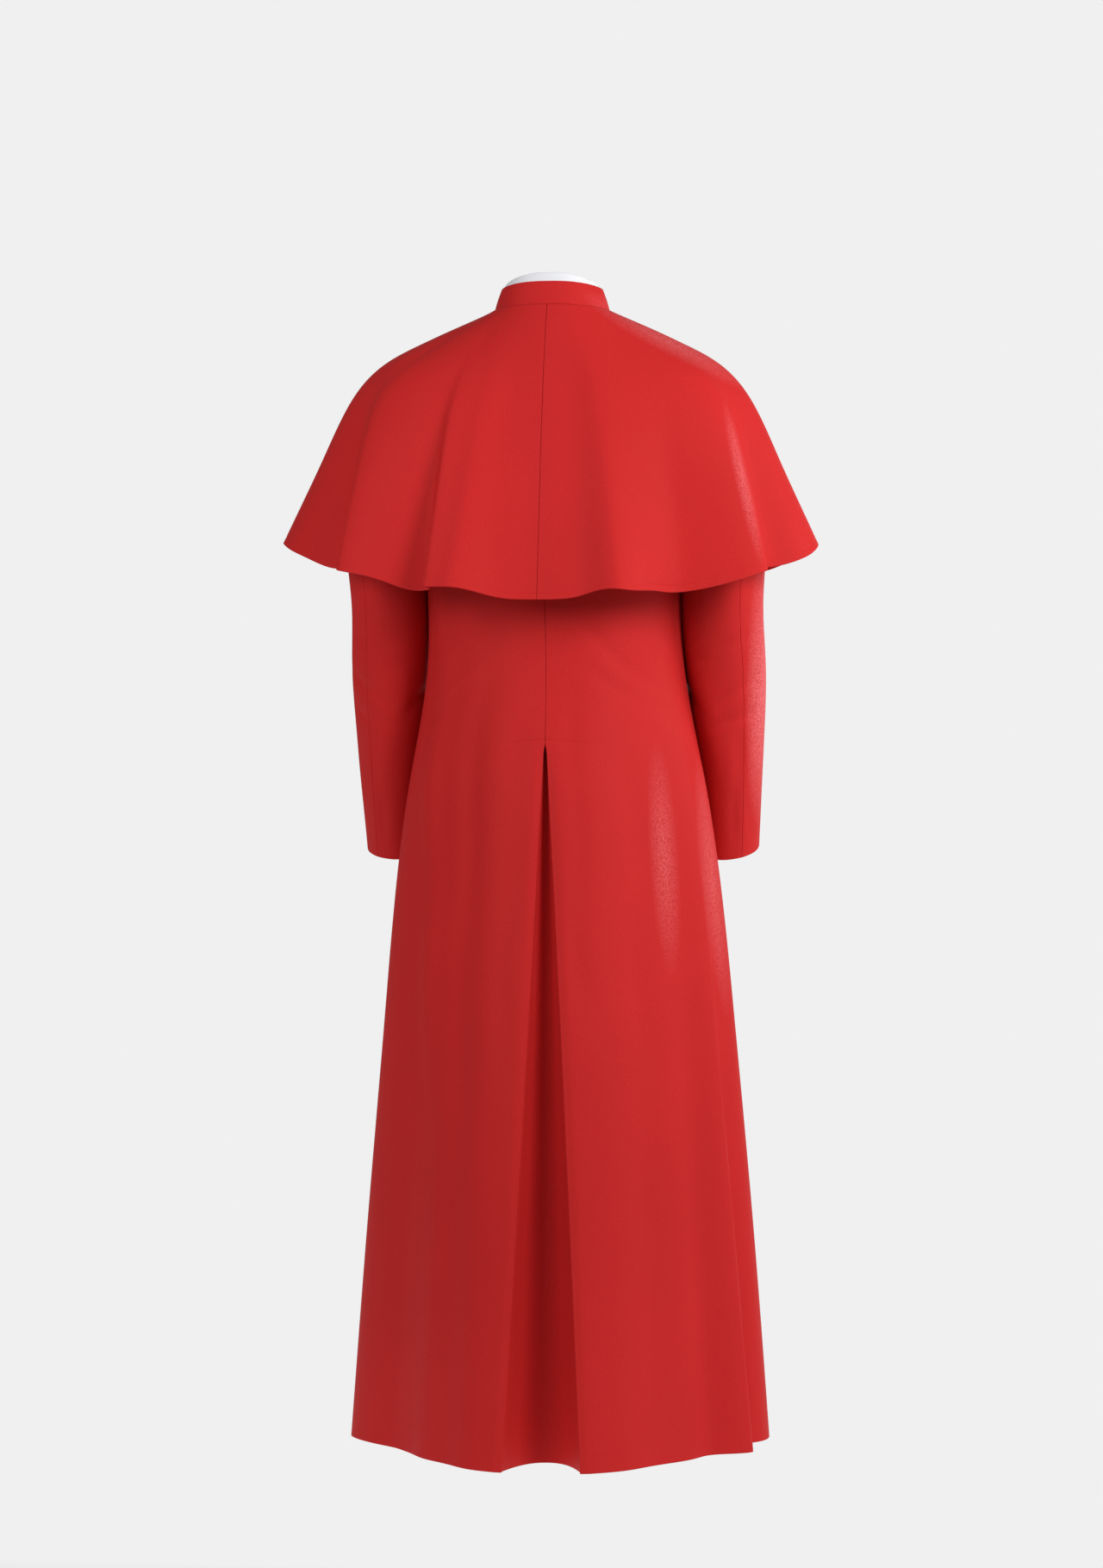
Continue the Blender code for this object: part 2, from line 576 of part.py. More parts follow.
def button_mesh(cloth):
    """A covered button: a low dome on a flat back, its axis along +Z."""
    profile = ((0.80, 0.0), (1.0, 0.30), (0.70, 0.82))
    points = [(0, 0, 0)]
    for radius, height in profile:
        for i in range(BUTTON_SIDES):
            turn = 2 * math.pi * i / BUTTON_SIDES
            ring = radius * BUTTON_RADIUS
            points.append((ring * math.cos(turn), ring * math.sin(turn), height * BUTTON_HEIGHT))
    points.append((0, 0, BUTTON_HEIGHT))
    faces = []
    for i in range(BUTTON_SIDES):
        j = (i + 1) % BUTTON_SIDES
        faces.append((0, 1 + j, 1 + i))
        for ring in range(len(profile) - 1):
            low, high = 1 + ring * BUTTON_SIDES, 1 + (ring + 1) * BUTTON_SIDES
            faces.append((low + i, low + j, high + j, high + i))
        top = 1 + (len(profile) - 1) * BUTTON_SIDES
        faces.append((top + i, top + j, len(points) - 1))
    mesh = bpy.data.meshes.new("button")
    mesh.from_pydata(points, [], faces)
    mesh.materials.append(cloth)
    return mesh


def make_buttons(cloth):
    """The row of covered buttons down the centre front, standing on the left front's points."""
    mesh = button_mesh(cloth)
    rows = body_rows(0, HEM)
    line = body_point(180, rows)
    for number, middle in enumerate(np.linspace(FIRST_BUTTON, LAST_BUTTON, BUTTON_COUNT), 1):
        marks = (middle - BUTTON_RADIUS, middle, middle + BUTTON_RADIUS)
        above, point, below = (np.array([np.interp(d, rows, axis) for axis in line.T]) for d in marks)
        along = unit(below - above)
        normal = np.array([0, along[2], -along[1]])
        button = add_object(f"button_{number:02d}", mesh, cloth)
        button.location = (point + normal * BUTTON_GAP).tolist()
        button.rotation_euler = (math.atan2(-normal[1], normal[2]), 0, 0)


def main():
    clear_scene()
    cloth = make_material("red_wool", RED_CLOTH, 0.62, 0.25)
    white = make_material("white_liner", WHITE_LINER, 0.45)
    make_backs(cloth)
    make_centre_pleat(cloth)
    make_fronts(cloth)
    make_sleeves(cloth)
    make_collar(cloth, white)
    make_capes(cloth)
    make_buttons(cloth)


main()
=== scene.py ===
"""The looks of a red wool cassock with a shoulder cape, seen from behind.

Each piece of cloth is a thin rounded shell on the form of the CAD solid it replaces, with
finer folds. A surface has two parameters: the angle round the body or arm in degrees
(0 is the centre back, positive towards the wearer's left), and the distance down the cloth.
"""

import math

import bpy
import numpy as np
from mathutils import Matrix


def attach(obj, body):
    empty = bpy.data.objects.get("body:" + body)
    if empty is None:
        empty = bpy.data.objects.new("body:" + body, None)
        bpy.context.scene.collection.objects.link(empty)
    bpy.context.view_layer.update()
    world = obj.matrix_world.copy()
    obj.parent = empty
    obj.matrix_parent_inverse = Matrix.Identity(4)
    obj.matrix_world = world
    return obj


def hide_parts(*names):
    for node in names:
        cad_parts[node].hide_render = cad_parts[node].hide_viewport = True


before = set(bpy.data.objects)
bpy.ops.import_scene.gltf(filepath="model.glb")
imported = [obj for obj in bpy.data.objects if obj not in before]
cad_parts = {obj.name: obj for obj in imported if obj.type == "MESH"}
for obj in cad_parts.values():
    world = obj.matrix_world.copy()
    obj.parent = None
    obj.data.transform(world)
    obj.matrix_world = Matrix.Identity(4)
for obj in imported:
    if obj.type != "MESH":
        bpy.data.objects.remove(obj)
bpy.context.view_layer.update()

# Thickness of the cloth, gaps at seams, and how far an edge is tucked under another
CLOTH = 0.0020
LINER = 0.0012
HALF_GAP = 0.00006
TUCK = 0.0003
CAPE_TUCK = 0.0012

# Rounded edges: their reach, and the row or column beside each
ROUNDING = 0.0003
LINER_ROUNDING = 0.0004
EDGE_STEP = 0.0012

# Steps over which a surface's slope is read: in degrees, in shares of the pleat, in metres
ANGLE_STEP = 0.05
ACROSS_STEP = 0.002
LENGTH_STEP = 0.0002

# Steps of each grid, down the cloth and round the body or arm
FINE = 1.0
LEAST_STEPS = 6
YOKE_DOWN = 18
ARMHOLE_DOWN = 44
WAIST_DOWN = 50
SKIRT_DOWN = 120
PANEL_ROUND = 110
PLEAT_DOWN = 130
PLEAT_ROUND = 48
SLEEVE_HEAD_DOWN = 10
SLEEVE_DOWN = 150
UPPER_SLEEVE_ROUND = 44
UNDER_SLEEVE_ROUND = 66
COLLAR_DOWN = 14
LINER_DOWN = 12
COLLAR_ROUND = 160
CAPE_DOWN = 96
CAPE_HEM_DOWN = 3
CAPE_ROUND = 240
BUTTON_SIDES = 20

# Heights on the body, as distances down the back from the nape
SHOULDER_TIP = 0.088
UNDERARM = 0.243
PLEAT_TOP = 0.549
HEM = 1.428

# The centre back pleat
PLEAT_HALF_OPENING = 0.049
PLEAT_HALF_TOP = 0.0012
PLEAT_DEPTH_TOP = 0.013
PLEAT_DEPTH_HEM = 0.078
PLEAT_ROUNDNESS = 2.3
PLEAT_UNDER = 0.0055
PLEAT_HEAD = 0.012
FOLD_ROLL = 0.0025
FOLD_ROLL_WIDTH = 0.0060
FOLD_ROLL_START = 0.06

# The faint seam at the pleat's head: rows close together, and where the next ones start
WAIST_SEAM_REACH = 0.005
WAIST_SEAM_ROWS = 11
WAIST_SEAM_BAND = 0.006

# How far the skirt stands towards the wearer's right
SWAY = 0.0145
SWAY_LENGTH = 0.550

# Seams and openings
SIDE_SEAM = 90.0
ARMHOLE_BACK_ANGLE = 21.0
ARMHOLE_FRONT_ANGLE = 20.0
FRONT_OVERLAP = 0.020
UNDERLAP_BLEND = 0.017
UNDERLAP_DEPTH = 0.0029
CAPE_LENGTH = 0.417
CAPE_EDGE_AT_NECK = 0.010
CAPE_EDGE_AT_HEM = 0.050
CAPE_EDGE_CURVE = 1.3

# The line of stitching above the cape's hem
CAPE_STITCHING = 0.009
STITCH_DEPTH = 0.0004
STITCH_WIDTH = 0.0009
STITCH_BAND = 0.002
STITCH_ROWS = 7
STITCH_MARGIN_ABOVE = 0.0008
STITCH_MARGIN_BELOW = 0.001

# The sleeves, and how far each moves off the body on its inner side
SLEEVE_SEAM_BACK = 60.0
SLEEVE_SEAM_FRONT = -60.0
SLEEVE_RADIUS = 0.06
CUFF = 0.620
SLEEVE_HEAD_SOFTNESS = 0.6
SLEEVE_SWAY = 0.0045
SLEEVE_SWAY_TURN = 0.75
LEFT_SLEEVE_TUCK = 0.0040
RIGHT_SLEEVE_TUCK = 0.0090
SLEEVE_TUCK_END = 0.53
SLEEVE_TUCK_BLEND = 0.20

# The collar and its liner
COLLAR_HEIGHT = 0.030
COLLAR_RADIUS = 0.065
COLLAR_FRONT_RADIUS = 0.07
COLLAR_OPENING = 0.0025
LINER_RISE = 0.0103
LINER_RISE_SIDE = 0.12
LINER_RISE_FRONT = 0.35
LINER_FLATNESS = 0.9
LINER_BOTTOM = 0.018
LINER_INSET = 0.0026

# Buttons
BUTTON_COUNT = 33
BUTTON_RADIUS = 0.0065
BUTTON_HEIGHT = 0.0048
BUTTON_GAP = 0.0006
BUTTON_PROFILE = (
    (0.72, 0.0),
    (0.92, 0.08),
    (1.0, 0.28),
    (0.97, 0.45),
    (0.86, 0.66),
    (0.62, 0.86),
    (0.32, 0.97),
)
FIRST_BUTTON = 0.020
LAST_BUTTON = 1.390

# Painted sheen: paler, pinker patches painted into the wool's colour where light glances off the
# cloth on the lit side: middle, reach and tilt of each
PAINTED_SHEEN_COLOR = (0.80, 0.16, 0.17)
PAINTED_SHEEN_COLUMNS = ("x", "y", "z", "wide", "deep", "high", "tilt", "strength")
PAINTED_SHEEN_PLACES = (
    (-0.150, 0.120, -0.690, 0.018, 0.120, 0.150, 4.0, 0.8),
    (-0.264, -0.030, -0.470, 0.022, 0.080, 0.230, 0.0, 1.8),
    (-0.150, 0.030, -0.043, 0.130, 0.070, 0.022, -29.0, 1.0),
    (-0.246, 0.110, -0.220, 0.010, 0.070, 0.120, 13.0, 1.0),
    (-0.206, 0.050, -0.720, 0.014, 0.080, 0.190, 6.0, 1.0),
)

# The camera: metres from the garment's middle, its height, and its direction
CAMERA_DISTANCE = 5.0
CAMERA_HEIGHT = -0.600
CAMERA_AZIMUTH = 186.0
CAMERA_LENS = 90.7
CAMERA_SENSOR = 36.0
CAMERA_SHIFT = -0.0005

# The stage: its level, its ends and half width, and where the floor turns darker
FLOOR_LEVEL = -1.525
STAGE_FRONT = 1.4
STAGE_BACK = -7.5
STAGE_BEND = 1.2
STAGE_TOP = 3.4
STAGE_HALF_WIDTH = 3.5
DARKER_FROM = 0.35
DARKEST_AT = 1.1

# The lamps: where each stands and aims, its diameter and its power in watts
LAMP_COLUMNS = ("name", "place", "aim", "size", "power")
LAMPS = (
    ("key", (-1.55, 1.42, 0.35), (0, 0, -0.1), 1.0, 27),
    ("side", (-2.1, 0.1, 0.3), (0, 0, -0.6), 0.8, 12),
    ("fill", (1.2, 1.7, 0.2), (0, 0, -0.1), 1.0, 17),
    ("top", (-0.6, 1.6, 2.4), (0, 0, -0.3), 1.5, 8),
    ("edge", (-2.2, -0.6, -0.1), (0, 0, -0.6), 0.8, 9),
)
ROOM_LIGHT = 0.18

# The angles at which each ring's radius is given
ANGLES = (0, 30, 60, 90, 120, 150, 180)

# Rings of the body
BODY_COLUMNS = ("down", "z_back", "z_side", "z_front", *ANGLES)
BODY_RINGS = (
    (0.000, 0.000, -0.0070, -0.056, 0.0620, 0.0652, 0.0712, 0.0742, 0.0738, 0.0735, 0.0735),
    (0.044, -0.040, -0.0370, -0.094, 0.0800, 0.0870, 0.1080, 0.1330, 0.1080, 0.0900, 0.0860),
    (0.088, -0.086, -0.0735, -0.134, 0.1000, 0.1100, 0.1460, 0.2000, 0.1420, 0.1100, 0.1010),
    (0.165, -0.165, -0.1560, -0.186, 0.1210, 0.1310, 0.1570, 0.1860, 0.1520, 0.1250, 0.1170),
    (0.243, -0.243, -0.2430, -0.246, 0.1310, 0.1390, 0.1550, 0.1670, 0.1530, 0.1340, 0.1270),
    (0.330, -0.330, -0.3300, -0.330, 0.1270, 0.1350, 0.1515, 0.1620, 0.1495, 0.1310, 0.1250),
    (0.428, -0.428, -0.4280, -0.428, 0.1180, 0.1260, 0.1465, 0.1612, 0.1465, 0.1270, 0.1210),
    (0.504, -0.504, -0.5040, -0.504, 0.1320, 0.1380, 0.1550, 0.1700, 0.1520, 0.1300, 0.1230),
    (0.591, -0.591, -0.5910, -0.591, 0.1540, 0.1560, 0.1700, 0.1860, 0.1610, 0.1360, 0.1280),
    (0.700, -0.700, -0.7000, -0.700, 0.1700, 0.1700, 0.1820, 0.2020, 0.1730, 0.1440, 0.1350),
    (0.896, -0.896, -0.8960, -0.896, 0.1960, 0.1900, 0.1950, 0.2205, 0.1930, 0.1620, 0.1530),
    (1.160, -1.160, -1.1600, -1.160, 0.2310, 0.2140, 0.2110, 0.2420, 0.2190, 0.1870, 0.1780),
    (1.428, -1.428, -1.4245, -1.428, 0.2680, 0.2380, 0.2270, 0.2600, 0.2440, 0.2120, 0.2030),
)

# Rings of the shoulder cape
CAPE_COLUMNS = ("down", "z_back", "z_side", "z_front", *ANGLES)
CAPE_RINGS = (
    (0.000, -0.0005, -0.0040, -0.0540, 0.0655, 0.0688, 0.0748, 0.0778, 0.0777, 0.0774, 0.0774),
    (0.022, -0.0190, -0.0130, -0.0740, 0.0765, 0.0800, 0.0905, 0.0985, 0.0925, 0.0870, 0.0855),
    (0.060, -0.0520, -0.0285, -0.1060, 0.0920, 0.0985, 0.1175, 0.1330, 0.1175, 0.1015, 0.0980),
    (0.100, -0.0900, -0.0455, -0.1390, 0.1080, 0.1175, 0.1475, 0.1680, 0.1440, 0.1170, 0.1110),
    (0.145, -0.1330, -0.0680, -0.1760, 0.1230, 0.1350, 0.1800, 0.2080, 0.1740, 0.1340, 0.1230),
    (0.190, -0.1760, -0.0990, -0.2120, 0.1370, 0.1500, 0.2030, 0.2400, 0.1970, 0.1460, 0.1320),
    (0.240, -0.2230, -0.1420, -0.2540, 0.1500, 0.1640, 0.2190, 0.2650, 0.2150, 0.1560, 0.1400),
    (0.300, -0.2775, -0.1970, -0.3030, 0.1640, 0.1790, 0.2340, 0.2890, 0.2320, 0.1660, 0.1480),
    (0.360, -0.3290, -0.2510, -0.3510, 0.1770, 0.1930, 0.2480, 0.3130, 0.2480, 0.1750, 0.1560),
    (0.417, -0.3750, -0.3020, -0.3960, 0.1890, 0.2050, 0.2600, 0.3360, 0.2620, 0.1830, 0.1640),
)

# Folds: the ridge's angle where it starts and at the hem, how far it stands out at the hem
# (a valley is negative), its spread nearer the centre back and on the far side, its start
FOLD_COLUMNS = ("above", "angle", "reach", "near", "far", "start")
FOLD_GROWTH = 1.25
FOLD_DRIFT = 0.5
FOLD_LIMIT = 1.2
SKIRT_FOLDS = (
    (-71.5, -69.0, 0.028, 8.5, 2.2, 0.50),
    (-79.5, -76.5, -0.026, 3.6, 7.0, 0.52),
    (-50.0, -48.0, 0.008, 10.0, 10.0, 0.50),
    (-62.0, -60.0, -0.006, 6.0, 6.0, 0.60),
    (-30.0, -24.0, 0.003, 7.0, 7.0, 0.60),
    (26.0, 22.0, 0.004, 7.0, 6.0, 0.60),
    (46.0, 42.0, 0.007, 9.0, 8.0, 0.56),
    (60.0, 62.0, -0.003, 6.0, 6.0, 0.70),
    (84.0, 84.0, 0.012, 13.0, 4.0, 0.54),
    (96.0, 94.0, -0.012, 5.0, 8.0, 0.54),
    (122.0, 120.0, 0.012, 10.0, 8.0, 0.50),
    (141.0, 141.0, -0.010, 8.0, 8.0, 0.52),
    (160.0, 158.0, 0.010, 8.0, 8.0, 0.50),
    (-120.0, -118.0, 0.013, 9.0, 9.0, 0.50),
    (-138.0, -138.0, -0.009, 8.0, 9.0, 0.52),
    (-158.0, -156.0, 0.011, 8.0, 9.0, 0.50),
)
CAPE_FOLDS = (
    (-33.0, -27.0, 0.026, 7.0, 11.0, 0.04),
    (4.0, 3.0, -0.005, 9.0, 9.0, 0.08),
    (36.0, 26.5, 0.015, 8.0, 5.0, 0.05),
    (50.0, 36.0, 0.024, 9.5, 3.0, 0.06),
    (56.0, 42.5, -0.014, 3.4, 6.0, 0.08),
    (77.0, 60.8, 0.027, 9.0, 3.0, 0.10),
    (85.0, 69.5, -0.024, 4.2, 6.0, 0.11),
    (-56.0, -51.0, -0.016, 8.0, 6.0, 0.10),
    (-76.0, -66.0, 0.024, 7.0, 2.8, 0.10),
    (-84.0, -74.5, -0.024, 4.2, 6.0, 0.12),
    (92.0, 88.0, 0.008, 13.0, 11.0, 0.00),
    (114.0, 112.0, 0.018, 9.0, 8.0, 0.12),
    (136.0, 134.0, -0.008, 7.0, 7.0, 0.12),
    (152.0, 150.0, 0.012, 8.0, 7.0, 0.10),
    (-112.0, -110.0, 0.016, 8.0, 9.0, 0.12),
    (-133.0, -131.0, -0.009, 7.0, 7.0, 0.12),
    (-150.0, -148.0, 0.013, 7.0, 8.0, 0.10),
)

# How far the cape's hem hangs lower: the angle, the drop (a rise is negative), the spread
CAPE_DIPS = (
    (-101.0, -0.0125, 9.0),
    (-85.0, 0.0040, 5.0),
    (-77.0, 0.0180, 7.0),
    (-56.0, 0.0270, 15.0),
    (-23.0, -0.0075, 7.0),
    (26.0, -0.0085, 9.0),
    (46.5, 0.0105, 6.0),
    (66.0, 0.0100, 19.0),
    (72.0, 0.0090, 4.0),
    (87.0, -0.0070, 8.0),
    (94.0, -0.0060, 9.0),
)

# Soft creases: where each one starts and ends, its depth (a ridge is negative), and its
# half width across and along, in metres
CREASE_COLUMNS = ("angle", "down", "end_angle", "end_down", "depth", "across", "along")
CREASE_WANDER = 0.2
CREASE_WANDER_RATE = 1.7
CREASE_UNEVENNESS = 0.25
CREASE_UNEVEN_RATE = 2.3
CREASE_LIP = 0.45
BODY_CREASES_START = 0.08
SLEEVE_CREASES_START = 0.1
SLEEVE_CREASE_RADIUS = 0.055
BODY_CREASES = (
    (24.0, 0.400, 52.0, 0.455, 0.0012, 0.012, 0.030),
    (-22.0, 0.405, -50.0, 0.462, 0.0012, 0.012, 0.030),
    (30.0, 0.470, 60.0, 0.505, 0.0010, 0.011, 0.030),
    (-34.0, 0.475, -66.0, 0.515, 0.0011, 0.012, 0.030),
    (12.0, 0.560, 16.0, 0.900, 0.0012, 0.016, 0.060),
    (-14.0, 0.560, -13.0, 0.820, 0.0012, 0.016, 0.060),
    (36.0, 0.600, 33.0, 1.180, 0.0016, 0.020, 0.080),
    (-40.0, 0.640, -36.0, 1.240, 0.0014, 0.022, 0.080),
    (63.0, 0.450, 52.0, 0.880, -0.0045, 0.022, 0.080),
    (36.0, 0.480, 34.0, 0.900, 0.0020, 0.026, 0.080),
    (3.0, 0.5465, 21.0, 0.5490, 0.0006, 0.0014, 0.010),
    (-3.0, 0.5465, -19.0, 0.5495, 0.0006, 0.0014, 0.010),
    (150.0, 0.420, 122.0, 0.470, 0.0014, 0.012, 0.030),
    (-150.0, 0.420, -122.0, 0.470, 0.0014, 0.012, 0.030),
    (168.0, 0.600, 166.0, 1.150, 0.0018, 0.018, 0.080),
    (-170.0, 0.620, -167.0, 1.200, 0.0018, 0.018, 0.080),
)
SLEEVE_CREASES = (
    (38.0, 0.395, 96.0, 0.425, 0.0022, 0.008, 0.016),
    (50.0, 0.440, 104.0, 0.452, 0.0018, 0.008, 0.014),
    (58.0, 0.350, 118.0, 0.372, 0.0016, 0.009, 0.016),
    (132.0, 0.430, 196.0, 0.395, 0.0024, 0.010, 0.018),
    (250.0, 0.400, 316.0, 0.440, 0.0030, 0.010, 0.020),
    (236.0, 0.440, 300.0, 0.462, 0.0026, 0.009, 0.018),
    (262.0, 0.365, 318.0, 0.390, 0.0022, 0.010, 0.018),
    (70.0, 0.480, 76.0, 0.590, 0.0014, 0.012, 0.030),
    (20.0, 0.250, 24.0, 0.560, -0.0012, 0.014, 0.060),
)

# Rings of a sleeve below the armhole
SLEEVE_COLUMNS = ("down", "inner_x", "inner_z", "outer_x", "outer_z", "mid_y", "half_depth", "drop")
SLEEVE_RINGS = (
    (0.022, 0.1700, -0.2475, 0.2180, -0.0900, 0.0020, 0.0650, 0.000),
    (0.050, 0.1705, -0.2500, 0.2380, -0.1140, 0.0000, 0.0690, 0.000),
    (0.088, 0.1703, -0.2530, 0.2510, -0.1470, -0.0020, 0.0715, 0.000),
    (0.132, 0.1705, -0.2580, 0.2600, -0.1940, -0.0040, 0.0730, 0.000),
    (0.182, 0.1702, -0.2680, 0.2650, -0.2450, -0.0060, 0.0725, 0.000),
    (0.235, 0.1690, -0.3030, 0.2665, -0.3000, -0.0090, 0.0710, 0.000),
    (0.305, 0.1655, -0.3700, 0.2620, -0.3700, -0.0180, 0.0680, 0.002),
    (0.385, 0.1670, -0.4500, 0.2640, -0.4500, -0.0340, 0.0650, 0.006),
    (0.455, 0.1700, -0.5200, 0.2620, -0.5200, -0.0520, 0.0620, 0.010),
    (0.535, 0.1735, -0.6000, 0.2575, -0.6000, -0.0740, 0.0580, 0.014),
    (0.620, 0.1745, -0.6830, 0.2535, -0.6790, -0.0990, 0.0530, 0.016),
)

# Rings of the stand collar, as distances down from its top edge
COLLAR_COLUMNS = ("down", "z_back", "z_side", "z_front", *ANGLES)
COLLAR_RINGS = (
    (0.000, 0.0305, 0.0255, -0.0250, 0.0535, 0.0568, 0.0618, 0.0641, 0.0640, 0.0628, 0.0620),
    (0.015, 0.0155, 0.0095, -0.0400, 0.0576, 0.0611, 0.0670, 0.0698, 0.0692, 0.0681, 0.0676),
    (0.030, 0.0008, -0.0062, -0.0548, 0.0618, 0.0650, 0.0710, 0.0740, 0.0736, 0.0733, 0.0733),
)


def spline(xs, ys, x):
    """A natural cubic spline through the points xs, ys, read at x."""
    xs, ys, x = (np.asarray(v, float) for v in (xs, ys, x))
    count, gaps = len(xs), np.diff(xs)
    system, right = np.eye(count), np.zeros(count)
    for i in range(1, count - 1):
        system[i, i - 1 : i + 2] = gaps[i - 1], 2 * (gaps[i - 1] + gaps[i]), gaps[i]
        right[i] = 6 * ((ys[i + 1] - ys[i]) / gaps[i] - (ys[i] - ys[i - 1]) / gaps[i - 1])
    bend = np.linalg.solve(system, right)
    i = np.clip(np.searchsorted(xs, x) - 1, 0, count - 2)
    h, a, b = gaps[i], xs[i + 1] - x, x - xs[i]
    return (
        (bend[i] * a**3 + bend[i + 1] * b**3) / (6 * h)
        + (ys[i] / h - bend[i] * h / 6) * a
        + (ys[i + 1] / h - bend[i + 1] * h / 6) * b
    )


class Table:
    """Rows of numbers under named columns, read smoothly between the rows."""

    def __init__(self, columns, rows):
        self.values = dict(zip(columns, np.array(rows, float).T))

    def at(self, column, down):
        return spline(self.values["down"], self.values[column], down)


BODY = Table(BODY_COLUMNS, BODY_RINGS)
CAPE = Table(CAPE_COLUMNS, CAPE_RINGS)
SLEEVE = Table(SLEEVE_COLUMNS, SLEEVE_RINGS)
COLLAR = Table(COLLAR_COLUMNS, COLLAR_RINGS)


def smooth(x):
    """0 below 0, 1 above 1, and a soft step between."""
    x = np.clip(x, 0, 1)
    return x * x * (3 - 2 * x)


def both(angle, down):
    """The two parameters as arrays of the same shape."""
    return np.broadcast_arrays(np.asarray(angle, float), np.asarray(down, float))


def folds_out(rows, angle, down, hem):
    """How far the folds push the cloth out at this angle and distance down."""
    out = np.zeros(angle.shape)
    for row in rows:
        fold = dict(zip(FOLD_COLUMNS, row))
        share = np.clip((down - fold["start"]) / (hem - fold["start"]), 0, FOLD_LIMIT)
        drift = np.minimum(share, 1) ** FOLD_DRIFT
        ridge = fold["above"] + (fold["angle"] - fold["above"]) * drift
        past = ((angle - ridge + 180) % 360 - 180) * np.sign(fold["angle"])
        spread = np.where(past < 0, fold["near"], fold["far"])
        out += fold["reach"] * share**FOLD_GROWTH * np.exp(-((past / spread) ** 2))
    return out


def creases_in(rows, angle, down, radius):
    """How far the soft creases press the cloth in: each is an uneven trough with soft ends."""
    pressed = np.zeros(angle.shape)
    for number, row in enumerate(rows):
        crease = dict(zip(CREASE_COLUMNS, row))
        scale = np.radians(1) * radius
        x = ((angle - crease["angle"] + 180) % 360 - 180) * scale
        y = down - crease["down"]
        run = (crease["end_angle"] - crease["angle"]) * scale
        fall = crease["end_down"] - crease["down"]
        length = np.hypot(run, fall)
        along = (x * run + y * fall) / length
        across = (x * fall - y * run) / length
        wander = np.sin(along / crease["along"] * CREASE_WANDER_RATE + number)
        across = across + CREASE_WANDER * crease["across"] * wander
        past_end = np.maximum(np.maximum(-along, along - length), 0) / crease["along"]
        wave = np.sin(along / crease["along"] * CREASE_UNEVEN_RATE + 2 * number)
        uneven = 1 + CREASE_UNEVENNESS * wave
        lip = (across / crease["across"]) ** 2
        pressed += crease["depth"] * uneven * (1 - CREASE_LIP * lip) * np.exp(-lip - past_end**2)
    return pressed


def ring_radius(table, angle, down):
    """The radius at any angle: the cosine series through the table's seven radii."""
    order = np.arange(len(ANGLES))
    weights = np.linalg.inv(np.cos(np.radians(np.outer(ANGLES, order))))
    radii = np.array([table.at(a, down) for a in ANGLES])
    terms = np.cos(np.radians(angle)[None, ...] * order.reshape((-1,) + (1,) * np.ndim(angle)))
    return np.einsum("kj,j...,k...->...", weights, radii, terms)


def ring_height(table, angle, down):
    """The height at any angle, between those at the back, the side and the front."""
    across = np.abs(np.sin(np.radians(angle))) ** 3
    behind = np.cos(np.radians(angle)) > 0
    end = np.where(behind, table.at("z_back", down), table.at("z_front", down))
    return end + (table.at("z_side", down) - end) * across


def polar(angle, radius, height, shift=0.0):
    """The point at this angle, radius and height, shifted towards the wearer's left."""
    turn = np.radians(angle)
    return np.stack([radius * np.sin(turn) + shift, radius * np.cos(turn), height], -1)


def sway(down):
    """How far the body has swayed towards the wearer's right."""
    return SWAY * (1 - np.exp(-np.clip(down - UNDERARM, 0, None) / SWAY_LENGTH))


def body_point(angle, down, inset=0.0):
    """The body's outer face, with its creases and folds."""
    angle, down = both(angle, down)
    radius = ring_radius(BODY, angle, down)
    quiet = smooth((down - UNDERARM) / BODY_CREASES_START)
    radius = radius - creases_in(BODY_CREASES, angle, down, radius) * quiet
    radius = radius + folds_out(SKIRT_FOLDS, angle, down, HEM) - inset
    return polar(angle, radius, ring_height(BODY, angle, down), -sway(down))


def back_point(angle, down):
    """A back panel: its edge rolls in along the pleat's fold."""
    angle, down = both(angle, down)
    from_fold = np.radians(np.abs(angle) - back_edge_angle(down)) * BODY.at(0, down)
    started = smooth((down - PLEAT_TOP) / FOLD_ROLL_START)
    roll = FOLD_ROLL * started * np.exp(-((from_fold / FOLD_ROLL_WIDTH) ** 2))
    return body_point(angle, down, roll)


def underlap_point(angle, down):
    """The right front: it drops behind the left front where they overlap."""
    angle, down = both(angle, down)
    from_centre = BODY.at(180, down) * np.radians(180 + angle)
    under = smooth(1 - (from_centre - FRONT_OVERLAP - 2 * HALF_GAP) / UNDERLAP_BLEND)
    return body_point(angle, down, UNDERLAP_DEPTH * under)


def cape_point(angle, down):
    """The cape's outer face, with its folds, its dips and the line of its stitching."""
    angle, down = both(angle, down)
    radius = ring_radius(CAPE, angle, down) + folds_out(CAPE_FOLDS, angle, down, CAPE_LENGTH)
    from_stitches = (CAPE_LENGTH - CAPE_STITCHING - down) / STITCH_WIDTH
    radius = radius - STITCH_DEPTH * np.exp(-(from_stitches**2))
    dip = sum(low * np.exp(-(((angle - at) / spread) ** 2)) for at, low, spread in CAPE_DIPS)
    return polar(angle, radius, ring_height(CAPE, angle, down) - dip * down / CAPE_LENGTH)


def collar_point(angle, down, inset=0.0):
    angle, down = both(angle, down)
    return polar(angle, ring_radius(COLLAR, angle, down) - inset, ring_height(COLLAR, angle, down))


def liner_point(angle, down):
    return collar_point(angle, down, LINER_INSET)


def pleat_opening(down):
    """Half the width of the pleat's opening."""
    share = np.clip((down - PLEAT_TOP) / (HEM - PLEAT_TOP), 0, None)
    return PLEAT_HALF_TOP + (PLEAT_HALF_OPENING - PLEAT_HALF_TOP) * share


